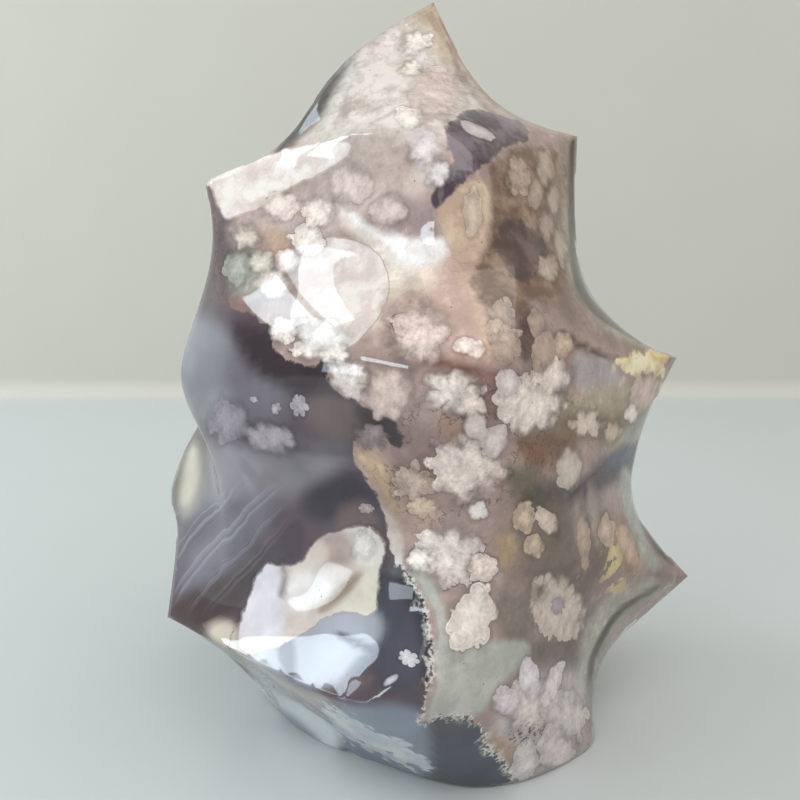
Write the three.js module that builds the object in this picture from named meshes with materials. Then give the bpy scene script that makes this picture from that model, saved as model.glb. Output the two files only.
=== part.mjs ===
import * as THREE from 'three';

// A polished flame carved from one piece of sakura agate, in millimetres, +Z up.
// Horns stand out from the stone at three heights, sharp ridges run between them,
// and smooth hollows are scooped out between the ridges. The foot is ground flat.

// The places that drive the form. Each lies on the surface of the stone:
// x to the viewer's right, y away from the viewer, z up from the table.
const PLACES = {
  peak: [5.5, 2, 120.5],

  rightShoulder: [30, 3, 99.5],
  leftShoulder: [-32, -2, 91],
  shoulderFold: [-18.5, -5, 96],
  foldEnd: [-4, -18, 96.5],
  upperBrow: [7.5, -25, 86.5],
  backLeftShoulder: [-23, 20, 84],
  backRightShoulder: [14, 24, 96],

  rightFlank: [32, 1, 74],
  rightHorn: [48.5, 2, 62],
  chest: [11, -36, 65.5],
  leftBulge: [-37.5, -3, 59.5],
  backLeftHorn: [-34, 19, 56],
  backHorn: [-5, 37, 67],
  backRightHorn: [27, 36, 54],

  rightWaist: [41, 0, 39.5],
  belly: [2, -34, 38],
  leftWaist: [-20, -20.5, 40],
  rightSpur: [53.5, 4, 21],
  spurFoot: [31, -13, 19.5],
  rim: [-0.5, -41.5, 21],
  leftSpur: [-40.5, -6, 17.5],
  backLeftSpur: [-44.5, 13, 33],
  backSpur: [-11, 38, 25],
  backRightSpur: [36, 30, 21],

  leftFoot: [-24, -1, 0],
  leftFrontFoot: [-12, -17, 0],
  frontFoot: [11, -28, 0],
  cornerFoot: [32, -16.5, 0],
  rightFoot: [33, 3, 0],
  backRightFoot: [24, 20, 0],
  backFoot: [2, 26, 0],
  backLeftFoot: [-20, 17, 0],
};

// Each line between two places: how sharp it is (0 is smooth, 3 is a knife edge),
// and the place that it passes through halfway, or how deep it is scooped in.
const LINES = [
  ['peak', 'shoulderFold', 2, [-9, -1, 110.5]],
  ['peak', 'rightShoulder', 3, [15, 0, 105]],
  ['peak', 'backLeftShoulder', 2, 3],
  ['peak', 'backRightShoulder', 2, 3],

  ['shoulderFold', 'leftShoulder', 3, [-25, -4, 94]],
  ['shoulderFold', 'foldEnd', 2, [-10.5, -12, 96.5]],
  ['foldEnd', 'upperBrow', 0, [2.5, -22, 93.5]],
  ['rightShoulder', 'upperBrow', 1.5, [18.5, -11, 95.5]],
  ['leftShoulder', 'backLeftShoulder', 2, 2],
  ['backLeftShoulder', 'backRightShoulder', 1.5, 4],
  ['rightShoulder', 'backRightShoulder', 2, 2],

  ['upperBrow', 'chest', 0.8, [7, -28, 76.5]],
  ['leftShoulder', 'leftBulge', 1, [-31, -6, 77.5]],
  ['rightShoulder', 'rightFlank', 3, [30, 2, 86.5]],
  ['rightFlank', 'rightHorn', 3, [39, 2, 66.5]],
  ['backLeftShoulder', 'backLeftHorn', 2, 5],
  ['backRightShoulder', 'backRightHorn', 2, 7],
  ['backRightShoulder', 'backHorn', 1, 5],

  ['leftBulge', 'chest', 0, [-10, -30, 65]],
  ['rightHorn', 'chest', 1, [27, -22, 65.5]],
  ['leftBulge', 'backLeftHorn', 0.5, 1],
  ['backLeftHorn', 'backHorn', 1.5, 5],
  ['backHorn', 'backRightHorn', 2, 5],
  ['rightHorn', 'backRightHorn', 2, 6],

  ['leftBulge', 'leftWaist', 1, [-27.5, -15.5, 48.5]],
  ['chest', 'belly', 0, [5.5, -35.5, 51.5]],
  ['rightHorn', 'rightWaist', 2, [43.5, 0, 52]],
  ['rightWaist', 'rightSpur', 2, [45.5, 2, 30]],
  ['backLeftHorn', 'backLeftSpur', 2, [-42, 15, 42.5]],
  ['backHorn', 'backSpur', 2, 8],
  ['backRightHorn', 'backRightSpur', 2, 7],

  ['leftWaist', 'belly', 0, [-9.5, -24.5, 36]],
  ['spurFoot', 'belly', 0, [14, -33.5, 34]],
  ['leftWaist', 'leftSpur', 3, [-28.5, -13.5, 26]],
  ['leftSpur', 'rim', 2.5, [-17, -31, 20]],
  ['rim', 'belly', 0, [3.5, -38.5, 29]],
  ['rightSpur', 'spurFoot', 2.5, [42, -4, 21.5]],
  ['leftSpur', 'backLeftSpur', 2, [-41.5, 5, 28.5]],
  ['backLeftSpur', 'backSpur', 1.5, 6],
  ['backSpur', 'backRightSpur', 2, 6],
  ['rightSpur', 'backRightSpur', 2, 6],

  ['spurFoot', 'cornerFoot', 1, [30, -16, 9.5]],
  ['rim', 'frontFoot', 0, [4, -35, 10.5]],
  ['leftSpur', 'leftFrontFoot', 0, [-22, -15, 10]],
  ['leftSpur', 'leftFoot', 1, [-31.5, -3, 9.5]],
  ['backLeftSpur', 'backLeftFoot', 1, 4],
  ['backSpur', 'backFoot', 1, 4],
  ['backRightSpur', 'backRightFoot', 1, 4],
  ['rightSpur', 'rightFoot', 2, [39.5, 4, 7]],

  ['leftFoot', 'leftFrontFoot', 3, [-19.5, -9.5, 0]],
  ['leftFrontFoot', 'frontFoot', 3, [-1, -23, 0]],
  ['frontFoot', 'cornerFoot', 3, [23, -24.5, 0]],
  ['cornerFoot', 'rightFoot', 3, [33.5, -7, 0]],
  ['rightFoot', 'backRightFoot', 3, [31, 12, 0]],
  ['backRightFoot', 'backFoot', 3, [14, 25, 0]],
  ['backFoot', 'backLeftFoot', 3, [-10, 24, 0]],
  ['backLeftFoot', 'leftFoot', 3, [-24, 9, 0]],
];

// The hollows and swells between the lines, with the place at the heart of each,
// or how deep it is scooped in. The corners run anticlockwise seen from outside.
const FACES = [
  [['peak', 'shoulderFold', 'foldEnd', 'upperBrow', 'rightShoulder'], [4.5, -12, 102.5]],
  [['shoulderFold', 'leftShoulder', 'leftBulge', 'chest', 'upperBrow', 'foldEnd'], [-10.5, -17, 81.5]],
  [['upperBrow', 'chest', 'rightHorn', 'rightFlank', 'rightShoulder'], [21.5, -17, 80.5]],
  [['leftBulge', 'leftWaist', 'belly', 'chest'], [-9, -26.5, 47.5]],
  [['chest', 'belly', 'spurFoot', 'rightSpur', 'rightWaist', 'rightHorn'], [23, -26, 48]],
  [['leftWaist', 'leftSpur', 'rim', 'belly'], [-10, -29, 26]],
  [['belly', 'rim', 'frontFoot', 'cornerFoot', 'spurFoot'], [15.5, -33, 18.5]],
  [['leftSpur', 'leftFrontFoot', 'frontFoot', 'rim'], [-9, -24, 7]],
  [['leftSpur', 'leftFoot', 'leftFrontFoot'], [-25.5, -8, 8]],
  [['spurFoot', 'cornerFoot', 'rightFoot', 'rightSpur'], [35.5, -6, 9]],
  [['leftBulge', 'backLeftHorn', 'backLeftSpur', 'leftSpur', 'leftWaist'], [-30.5, -8, 37]],

  [['shoulderFold', 'peak', 'backLeftShoulder', 'leftShoulder'], 1],
  [['peak', 'backRightShoulder', 'backLeftShoulder'], 1],
  [['peak', 'rightShoulder', 'backRightShoulder'], 1],
  [['leftShoulder', 'backLeftShoulder', 'backLeftHorn', 'leftBulge'], 1],
  [['backLeftShoulder', 'backRightShoulder', 'backHorn', 'backLeftHorn'], 2],
  [['rightShoulder', 'rightFlank', 'rightHorn', 'backRightHorn', 'backRightShoulder'], 3],
  [['backRightShoulder', 'backRightHorn', 'backHorn'], 1],
  [['backLeftHorn', 'backHorn', 'backSpur', 'backLeftSpur'], 4],
  [['backHorn', 'backRightHorn', 'backRightSpur', 'backSpur'], 4],
  [['backRightHorn', 'rightHorn', 'rightWaist', 'rightSpur', 'backRightSpur'], 3],
  [['leftSpur', 'backLeftSpur', 'backLeftFoot', 'leftFoot'], 1],
  [['backLeftSpur', 'backSpur', 'backFoot', 'backLeftFoot'], 2],
  [['backSpur', 'backRightSpur', 'backRightFoot', 'backFoot'], 2],
  [['backRightSpur', 'rightSpur', 'rightFoot', 'backRightFoot'], 2],
  [
    ['leftFoot', 'backLeftFoot', 'backFoot', 'backRightFoot', 'rightFoot', 'cornerFoot', 'frontFoot',
      'leftFrontFoot'],
    [4, 0, 0],
  ],
];

const REFINEMENTS = 2; // each one splits every four-sided patch into four
const FITTING_ROUNDS = 40; // how often the net is moved until the surface meets its places

// A line's key is the same from either end.
const lineKey = (a, b) => (a < b ? `${a},${b}` : `${b},${a}`);

// Average of some points.
function middle(points) {
  const sum = new THREE.Vector3();
  points.forEach((point) => sum.add(point));
  return sum.divideScalar(points.length);
}

// A point moved level towards the upright axis of the stone.
function scooped(point, depth) {
  const inward = new THREE.Vector3(-point.x, -point.y, 0).normalize();
  return point.clone().addScaledVector(inward, depth);
}

// The coarse net: the places, one point halfway along each line and one at the heart of
// each face, joined by four-sided patches, with the sharpness of every line.
function coarseNet() {
  const points = [];
  const patches = [];
  const sharpness = new Map();
  const indexOf = {};
  const halfway = new Map();

  const addPoint = (point) => points.push(point) - 1;
  const placed = (given, around) => (
    Array.isArray(given) ? new THREE.Vector3(...given) : scooped(middle(around), given)
  );

  for (const [name, place] of Object.entries(PLACES)) {
    indexOf[name] = addPoint(new THREE.Vector3(...place));
  }
  for (const [from, to, sharp, given] of LINES) {
    const a = indexOf[from];
    const b = indexOf[to];
    const m = addPoint(placed(given, [points[a], points[b]]));
    halfway.set(lineKey(a, b), m);
    sharpness.set(lineKey(a, m), sharp);
    sharpness.set(lineKey(m, b), sharp);
  }
  for (const [names, given] of FACES) {
    const corners = names.map((name) => indexOf[name]);
    const count = corners.length;
    const sides = corners.map((c, i) => halfway.get(lineKey(c, corners[(i + 1) % count])));
    const heart = addPoint(placed(given, [...corners, ...sides].map((i) => points[i])));
    corners.forEach((corner, i) => {
      patches.push([corner, sides[i], heart, sides[(i + count - 1) % count]]);
    });
  }
  return { points, patches, sharpness };
}

// One Catmull-Clark refinement, with sharp and half sharp lines. The points of the net
// that goes in keep their numbers in the net that comes out. A smooth point moves towards
// its faces and lines by how many meet there, a point on a ridge stays on the ridge's own
// curve (six parts itself to one of each neighbour), and one where ridges meet stays put.
function refined({ points, patches, sharpness }) {
  const count = points.length;
  const hearts = patches.map((patch) => middle(patch.map((i) => points[i])));
  const lines = new Map();
  patches.forEach((patch, face) => {
    patch.forEach((a, i) => {
      const b = patch[(i + 1) % patch.length];
      const key = lineKey(a, b);
      if (!lines.has(key)) {
        const sharp = sharpness.get(key) ?? 0;
        lines.set(key, { a, b, sharp, faces: [], index: count + patches.length + lines.size });
      }
      lines.get(key).faces.push(face);
    });
  });

  const around = points.map(() => ({ lines: [], faces: [] }));
  patches.forEach((patch, face) => patch.forEach((i) => around[i].faces.push(face)));
  for (const line of lines.values()) {
    around[line.a].lines.push(line);
    around[line.b].lines.push(line);
  }

  const linePoints = [...lines.values()].map((line) => {
    const centre = middle([points[line.a], points[line.b]]);
    const smooth = middle([points[line.a], points[line.b], ...line.faces.map((f) => hearts[f])]);
    return smooth.lerp(centre, Math.min(line.sharp, 1));
  });

  const movedPoints = points.map((point, i) => {
    const valence = around[i].lines.length;
    const faceMean = middle(around[i].faces.map((f) => hearts[f]));
    const lineMean = middle(around[i].lines.map((l) => middle([points[l.a], points[l.b]])));
    const smooth = point.clone().multiplyScalar(valence - 3)
      .addScaledVector(lineMean, 2)
      .add(faceMean)
      .divideScalar(valence);
    const ridges = around[i].lines.filter((line) => line.sharp > 0);
    if (ridges.length < 2) {
      return smooth;
    }
    const blend = Math.min(ridges.reduce((sum, line) => sum + line.sharp, 0) / ridges.length, 1);
    if (ridges.length > 2) {
      return smooth.lerp(point, blend);
    }
    const ends = ridges.map((line) => points[line.a === i ? line.b : line.a]);
    const onRidge = point.clone().multiplyScalar(6).add(ends[0]).add(ends[1]).divideScalar(8);
    return smooth.lerp(onRidge, blend);
  });

  const finerPatches = [];
  const finerSharpness = new Map();
  patches.forEach((patch, face) => {
    const sides = patch.map((a, i) => lines.get(lineKey(a, patch[(i + 1) % patch.length])).index);
    patch.forEach((corner, i) => {
      const before = sides[(i + patch.length - 1) % patch.length];
      finerPatches.push([corner, sides[i], count + face, before]);
    });
  });
  for (const line of lines.values()) {
    const left = Math.max(line.sharp - 1, 0);
    finerSharpness.set(lineKey(line.a, line.index), left);
    finerSharpness.set(lineKey(line.index, line.b), left);
  }
  return {
    points: [...movedPoints, ...hearts, ...linePoints],
    patches: finerPatches,
    sharpness: finerSharpness,
  };
}

// The finished surface: the net is moved a little at a time, until the surface that is
// refined from it passes through every place that it was given.
function carvedSurface() {
  const net = coarseNet();
  const targets = net.points.map((point) => point.clone());
  let surface = net;
  for (let round = 0; round < FITTING_ROUNDS; round += 1) {
    surface = net;
    for (let step = 0; step < REFINEMENTS; step += 1) {
      surface = refined(surface);
    }
    net.points = net.points.map((point, i) => point.clone().add(targets[i]).sub(surface.points[i]));
  }
  return surface;
}

// Triangles from the four-sided patches, each split along its shorter diagonal.
function triangulated({ points, patches }) {
  const index = [];
  for (const [a, b, c, d] of patches) {
    if (points[a].distanceTo(points[c]) <= points[b].distanceTo(points[d])) {
      index.push(a, b, c, a, c, d);
    } else {
      index.push(a, b, d, b, c, d);
    }
  }
  const geometry = new THREE.BufferGeometry();
  geometry.setAttribute('position', new THREE.Float32BufferAttribute(points.flatMap((p) => [...p]), 3));
  geometry.setIndex(index);
  return geometry;
}

// Stand the stone on the table with the middle of its outline over the origin.
function standing(geometry) {
  geometry.computeBoundingBox();
  const { min, max } = geometry.boundingBox;
  geometry.translate(-(min.x + max.x) / 2, -(min.y + max.y) / 2, -min.z);
  geometry.computeVertexNormals();
  return geometry;
}

const polishedAgate = new THREE.MeshStandardMaterial({
  color: 0xa89c9c,
  roughness: 0.08,
  metalness: 0,
});

const flame = new THREE.Mesh(standing(triangulated(carvedSurface())), polishedAgate);
flame.name = 'agate_flame';

const carving = new THREE.Group();
carving.add(flame);

export default carving;
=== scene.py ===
# %% [markdown]
# # A flame of sakura agate
#
# The object is one stone. Somebody sawed a block of agate, ground a flame out of it with
# horns and scooped hollows, and polished it until it shone like glass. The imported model
# gives its form in flat triangles. This lesson rounds that form, draws the agate's
# colours into it with nodes, and lights it with bright panes at the left and soft fills.

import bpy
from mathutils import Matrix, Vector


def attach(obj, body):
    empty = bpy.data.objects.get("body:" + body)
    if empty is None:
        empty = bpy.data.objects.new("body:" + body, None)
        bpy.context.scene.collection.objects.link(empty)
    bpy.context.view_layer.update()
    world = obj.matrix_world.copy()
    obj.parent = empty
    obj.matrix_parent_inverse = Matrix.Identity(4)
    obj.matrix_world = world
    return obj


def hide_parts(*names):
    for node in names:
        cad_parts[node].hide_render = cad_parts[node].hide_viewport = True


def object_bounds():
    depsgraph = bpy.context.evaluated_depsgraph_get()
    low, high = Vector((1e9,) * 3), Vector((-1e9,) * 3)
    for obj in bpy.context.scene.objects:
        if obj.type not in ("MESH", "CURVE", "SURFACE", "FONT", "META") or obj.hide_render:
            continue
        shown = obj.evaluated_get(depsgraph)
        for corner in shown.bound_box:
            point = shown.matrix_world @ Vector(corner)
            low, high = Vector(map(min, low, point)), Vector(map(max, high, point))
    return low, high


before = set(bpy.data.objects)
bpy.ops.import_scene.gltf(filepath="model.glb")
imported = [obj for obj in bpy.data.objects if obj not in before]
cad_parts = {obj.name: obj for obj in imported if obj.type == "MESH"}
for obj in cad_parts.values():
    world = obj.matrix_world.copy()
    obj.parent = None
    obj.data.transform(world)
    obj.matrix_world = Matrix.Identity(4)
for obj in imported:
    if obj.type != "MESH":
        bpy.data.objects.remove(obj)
cad_box = [[float(number) for number in corner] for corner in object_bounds()]

import math

import bpy
import numpy as np
from mathutils import Quaternion, Vector, noise
from mathutils.bvhtree import BVHTree

MM = 0.001
ground_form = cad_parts["agate_flame"]
print("the packed stone measures", [round(high - low, 4) for low, high in zip(*cad_box)], "m")

# %% [markdown]
# ## The camera
#
# The photograph was taken from close by, a little above the middle of the stone, looking
# down by nine degrees. That near view makes the upper half look big and the foot small. A
# camera could be placed by eye and nudged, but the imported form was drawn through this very
# camera, so its place is given as a step back from the stone's peak.

# %% Place the camera
PEAK_TO_EYE = Vector((-5.5, -139.7, -43.9)) * MM
PITCH_DOWN = math.radians(9)
LENS = 36
PHOTO_WIDTH = 800

corners = np.array([vertex.co for vertex in ground_form.data.vertices])
peak = Vector(corners[corners[:, 2].argmax()])
eye = peak + PEAK_TO_EYE
ahead = Vector((0, math.cos(PITCH_DOWN), -math.sin(PITCH_DOWN)))
upward = Vector((0, math.sin(PITCH_DOWN), math.cos(PITCH_DOWN)))

bpy.ops.object.select_all(action="DESELECT")
bpy.ops.object.camera_add(location=eye, rotation=(math.radians(90) - PITCH_DOWN, 0, 0))
camera = bpy.context.object
camera.name = "camera"
camera.data.sensor_width = LENS
camera.data.lens = LENS
camera.data.clip_start = 0.005
bpy.context.scene.camera = camera
print("camera at", [round(number, 4) for number in eye])

# %% [markdown]
# ## The stage
#
# The stone stands on a smooth pale floor with a plain backdrop a little way behind. One
# sheet does for both: a plane whose far part is turned up, with the bend rounded so that no
# hard corner shows.

# %% Make the floor and the backdrop
BACKDROP_AT = 0.36
BACKDROP_HEIGHT = 1.6
STAGE_HALF_WIDTH = 1.6
STAGE_FRONT = -1.4
BEND_RADIUS = 0.012
FLOOR_COLOUR = (0.50, 0.535, 0.54)
BACKDROP_COLOUR = (0.52, 0.515, 0.465)


def plain_material(name, colour, roughness):
    """A dull finish with a faint mottle, for what is only there to stand on."""
    material = bpy.data.materials.new(name)
    material.use_nodes = True
    tree = material.node_tree
    surface = tree.nodes["Principled BSDF"]
    surface.inputs["Roughness"].default_value = roughness
    place = tree.nodes.new("ShaderNodeTexCoord").outputs["Object"]
    mottle = tree.nodes.new("ShaderNodeTexNoise")
    mottle.inputs["Scale"].default_value = 14
    mottle.inputs["Detail"].default_value = 4
    tree.links.new(place, mottle.inputs["Vector"])
    tint = tree.nodes.new("ShaderNodeMix")
    tint.data_type = "RGBA"
    tint.inputs[6].default_value = (*(part * 0.95 for part in colour), 1)
    tint.inputs[7].default_value = (*colour, 1)
    tree.links.new(mottle.outputs["Fac"], tint.inputs[0])
    tree.links.new(tint.outputs[2], surface.inputs["Base Color"])
    return material


bpy.ops.object.select_all(action="DESELECT")
bpy.ops.mesh.primitive_plane_add(size=1, location=(0, 0, 0))
stage = bpy.context.object
stage.name = "floor_and_backdrop"
stage_corners = [
    (-STAGE_HALF_WIDTH, STAGE_FRONT, 0),
    (STAGE_HALF_WIDTH, STAGE_FRONT, 0),
    (-STAGE_HALF_WIDTH, BACKDROP_AT, 0),
    (STAGE_HALF_WIDTH, BACKDROP_AT, 0),
]
for vertex, corner in zip(stage.data.vertices, stage_corners):
    vertex.co = corner
bpy.ops.object.mode_set(mode="EDIT")
bpy.ops.mesh.select_all(action="DESELECT")
bpy.ops.object.mode_set(mode="OBJECT")
for edge in stage.data.edges:
    edge.select = all(stage.data.vertices[i].co.y > 0 for i in edge.vertices)
bpy.ops.object.mode_set(mode="EDIT")
bpy.ops.mesh.select_mode(type="EDGE")
bpy.ops.mesh.extrude_region_move(TRANSFORM_OT_translate={"value": (0, 0, BACKDROP_HEIGHT)})
bpy.ops.mesh.select_all(action="DESELECT")
bpy.ops.object.mode_set(mode="OBJECT")
for edge in stage.data.edges:
    ends = [stage.data.vertices[i].co for i in edge.vertices]
    edge.select = all(end.y > BACKDROP_AT - MM and end.z < MM for end in ends)
bpy.ops.object.mode_set(mode="EDIT")
bpy.ops.mesh.bevel(offset=BEND_RADIUS, segments=6)
bpy.ops.object.mode_set(mode="OBJECT")
bpy.ops.object.shade_smooth_by_angle(angle=math.radians(40))

stage.data.materials.append(plain_material("pale_floor", FLOOR_COLOUR, 0.35))
stage.data.materials.append(plain_material("plain_backdrop", BACKDROP_COLOUR, 0.8))
for face in stage.data.polygons:
    face.material_index = int(face.center.z > MM)
print("stage of", len(stage.data.polygons), "faces, backdrop at", BACKDROP_AT, "m")

# %% [markdown]
# ## The light
#
# The glare on the stone has the shape of tall panes at the viewer's left. Working back from
# each highlight through the slope that it lies on gives the direction of each pane, and
# small area lights in those directions make the same highlights. Everything else is soft:
# two wide fills that light the stone but don't mirror in it, a glow from above, and a dim
# even background, so that the dark agate isn't veiled by reflections.

# %% Hang the panes and the soft fills
STONE_MIDDLE = Vector((0, 0, 45)) * MM
PANE_DISTANCE = 0.8
DAYLIGHT = (0.78, 0.91, 1.0)
PANES = [
    # degrees round from behind the camera, degrees above the floor, glow
    ((-78, -60), (1, 12), 5),
    ((-119, -97), (23, 38), 7),
    ((-104, -88), (40.5, 52), 5),
    ((-61, -32), (19.5, 24), 10),
]
FILL_DISTANCE = 1.3
OVERHEAD_DISTANCE = 1.4
SOFT_WHITE = (1.0, 0.98, 0.95)
BACKGROUND_COLOUR = (0.80, 0.80, 0.77, 1)
BACKGROUND_GLOW = 0.375


def towards(round_degrees, up_degrees):
    """The direction from the stone to a place round it."""
    turn, rise = math.radians(round_degrees), math.radians(up_degrees)
    return Vector((math.sin(turn) * math.cos(rise), -math.cos(turn) * math.cos(rise), math.sin(rise)))


def hang_light(name, round_degrees, up_degrees, distance, glow, colour):
    """A rectangle of even brightness, as wide and high as it looks from the stone."""
    way = towards(sum(round_degrees) / 2, sum(up_degrees) / 2)
    facing = (-way).to_track_quat("-Z", "Y").to_euler()
    bpy.ops.object.light_add(type="AREA", location=STONE_MIDDLE + way * distance, rotation=facing)
    light = bpy.context.object
    light.name = name
    light.data.shape = "RECTANGLE"
    wide = 2 * distance * math.tan(math.radians(round_degrees[1] - round_degrees[0]) / 2)
    high = 2 * distance * math.tan(math.radians(up_degrees[1] - up_degrees[0]) / 2)
    light.data.size, light.data.size_y = wide, high
    light.data.energy = glow * math.pi * wide * high
    light.data.color = colour
    light.visible_camera = False
    return light


for round_degrees, up_degrees, glow in PANES:
    hang_light("pane", round_degrees, up_degrees, PANE_DISTANCE, glow, DAYLIGHT)
left_fill = hang_light("left_fill", (-95, -30), (10, 60), FILL_DISTANCE, 1.15, SOFT_WHITE)
right_fill = hang_light("right_fill", (5, 75), (5, 60), FILL_DISTANCE, 1.3, SOFT_WHITE)
left_fill.visible_glossy = False
right_fill.visible_glossy = False
hang_light("overhead_glow", (0, 80), (55, 88), OVERHEAD_DISTANCE, 1.35, SOFT_WHITE)

background = bpy.data.worlds.new("pale_background")
bpy.context.scene.world = background
background.use_nodes = True
background.node_tree.nodes["Background"].inputs["Color"].default_value = BACKGROUND_COLOUR
background.node_tree.nodes["Background"].inputs["Strength"].default_value = BACKGROUND_GLOW
bpy.context.scene.view_settings.view_transform = "Standard"
print(len(PANES), "panes, two fills, a glow from above and a dim background")

# %% [markdown]
# ## Rounding the stone
#
# A polished stone has no flat triangles: its hollows are smooth, and its ridges are crisp
# but slightly rubbed. Sculpting would do, but a subdivision surface gives both at once.
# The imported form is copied, its loose triangles are merged and paired into squares, and
# the ridges, where two faces meet at a clear angle, get a crease. So do the tips, where
# the faces round a point look in very different directions, and the edges that run to
# them. Smoothing then leaves those narrow and rounds everything else.

# %% Copy, merge and crease
RIDGE_ANGLE = math.radians(24)
RIDGE_CREASE = 0.42
TIP_SHARE = 0.8
TIP_CREASE = 1.0

bpy.ops.object.select_all(action="DESELECT")
ground_form.select_set(True)
bpy.context.view_layer.objects.active = ground_form
bpy.ops.object.duplicate()
stone = bpy.context.object
stone.name = "polished_flame"
bpy.ops.object.mode_set(mode="EDIT")
bpy.ops.mesh.select_mode(type="EDGE")
bpy.ops.mesh.select_all(action="SELECT")
bpy.ops.mesh.remove_doubles(threshold=0.01 * MM)
bpy.ops.mesh.tris_convert_to_quads(
    face_threshold=math.radians(70), shape_threshold=math.radians(70)
)
bpy.ops.mesh.select_all(action="DESELECT")
bpy.ops.mesh.edges_select_sharp(sharpness=RIDGE_ANGLE)
bpy.ops.transform.edge_crease(value=RIDGE_CREASE)
bpy.ops.mesh.select_mode(type="VERT")
bpy.ops.mesh.select_all(action="DESELECT")
bpy.ops.object.mode_set(mode="OBJECT")
around = [Vector() for _ in stone.data.vertices]
touching = [0] * len(around)
for face in stone.data.polygons:
    for i in face.vertices:
        around[i] += face.normal
        touching[i] += 1
for vertex, total, faces in zip(stone.data.vertices, around, touching):
    vertex.select = total.length < TIP_SHARE * faces and vertex.co.z > MM
tips = {vertex.index for vertex in stone.data.vertices if vertex.select}
bpy.ops.object.mode_set(mode="EDIT")
bpy.ops.transform.vert_crease(value=TIP_CREASE)
bpy.ops.mesh.select_all(action="DESELECT")
bpy.ops.mesh.select_mode(type="EDGE")
bpy.ops.object.mode_set(mode="OBJECT")
for edge in stone.data.edges:
    edge.select = not tips.isdisjoint(edge.vertices)
bpy.ops.object.mode_set(mode="EDIT")
bpy.ops.transform.edge_crease(value=TIP_CREASE)
bpy.ops.object.mode_set(mode="OBJECT")
four_sided = sum(len(face.vertices) == 4 for face in stone.data.polygons)
print(len(stone.data.polygons), "faces,", four_sided, "with four sides,", len(tips), "tips")

# %% [markdown]
# Two rounds of subdivision turn each square into sixteen, enough for the polish to run
# smoothly over the hollows. The modifier is applied rather than kept, because the colours
# are stored on the finished points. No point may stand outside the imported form's box, so
# the few at its very edge are held to it.

# %% Smooth it and hold it inside the box
rounding = stone.modifiers.new("rounding", "SUBSURF")
rounding.levels = 2
rounding.render_levels = 2
bpy.ops.object.modifier_apply(modifier=rounding.name)
bpy.ops.object.shade_smooth()
for vertex in stone.data.vertices:
    vertex.co = np.clip(vertex.co, *cad_box)
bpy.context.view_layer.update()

# %% [markdown]
# ## How the agate's colours are laid out
#
# Sakura agate is grey-violet chalcedony in which pale blossoms have grown. The polish
# cuts through them, so they are colour and not relief. A picture projected on the stone
# would copy them, but it would be one photograph stretched over every side. Instead each
# patch is drawn here as a named outline, in the photograph's own pixels, and every point
# of the stone is told how far it lies from each outline. The material then draws the
# edges from those distances, as crisp or as soft as they should be.

# %% From the stone to the photograph
WARP_PIXELS = 75
WARP_SIZE = 26 * MM


def eased(value, low, high):
    """Goes smoothly from 0 at low to 1 at high."""
    share = np.clip((value - low) / (high - low), 0, 1)
    return share * share * (3 - 2 * share)


def wandering(points, size, shift):
    """Smooth noise at each point, one value for each of three directions."""
    return np.array([noise.noise_vector(Vector(point) / size + Vector(shift)) for point in points])


points = np.empty(len(stone.data.vertices) * 3)
stone.data.vertices.foreach_get("co", points)
points = points.reshape(-1, 3)
normals = np.empty(len(stone.data.vertices) * 3)
stone.data.vertices.foreach_get("normal", normals)
normals = normals.reshape(-1, 3)

to_eye = np.array(eye) - points
distance = np.linalg.norm(to_eye, axis=1)
facing_eye = (normals * to_eye).sum(axis=1) / distance
depth = -to_eye @ np.array(ahead)
photo_x = PHOTO_WIDTH / 2 + PHOTO_WIDTH * -to_eye[:, 0] / depth
photo_y = PHOTO_WIDTH / 2 - PHOTO_WIDTH * (-to_eye @ np.array(upward)) / depth
pixel_mm = depth / PHOTO_WIDTH / MM

turned_away = eased(facing_eye, 0.12, -0.35)
warp = wandering(points, WARP_SIZE, (3.1, 7.7, 1.3))
lookup_x = photo_x + turned_away * warp[:, 0] * WARP_PIXELS
lookup_y = photo_y + turned_away * warp[:, 2] * WARP_PIXELS
print("the front spans", round(photo_x.min()), "to", round(photo_x.max()), "pixels")

# %% [markdown]
# The sides and the back aren't in the photograph. Agate's colours run through the whole
# block, so a point on the far side takes the colours of the front one that it lies
# behind, pushed aside by slow noise. That keeps each patch whole where it goes round the
# stone, and still makes the back a picture of its own.

# %% Outlines and distances
def rounded(outline):
    """The same closed outline with its corners cut twice."""
    line = np.array(outline, float)
    for _ in range(2):
        after = np.roll(line, -1, axis=0)
        line = np.stack([line * 0.75 + after * 0.25, line * 0.25 + after * 0.75], 1).reshape(-1, 2)
    return line


def beyond(outline, x, y):
    """Pixels from a closed outline, less than zero inside it."""
    line = rounded(outline)
    nearest = np.full(len(x), 1e9)
    inside = np.zeros(len(x), bool)
    for (ax, ay), (bx, by) in zip(line, np.roll(line, -1, axis=0)):
        run, drop = bx - ax, by - ay
        share = np.clip(((x - ax) * run + (y - ay) * drop) / (run * run + drop * drop), 0, 1)
        nearest = np.minimum(nearest, np.hypot(x - ax - share * run, y - ay - share * drop))
        if ay != by:
            inside ^= ((ay > y) != (by > y)) & (x < ax + (y - ay) / drop * run)
    return np.where(inside, -nearest, nearest)


def linear(colour):
    """A screen colour of 0 to 255 as the light that it stands for."""
    part = np.array(colour) / 255
    return np.where(part > 0.04045, ((part + 0.055) / 1.055) ** 2.4, part / 12.92)


# %% [markdown]
# ## The soft colours
#
# Under the crisp patches the stone shades slowly from one colour to the next. These soft
# colours are laid over each other like washes, each with its own outline and width of edge.
# Noise alone would give the right kind of stone but not this one, and a picture laid on it
# would not be soft where the stone is. The peak and the left shoulder come first: milky
# white, with greyer glass along their edges.

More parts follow.
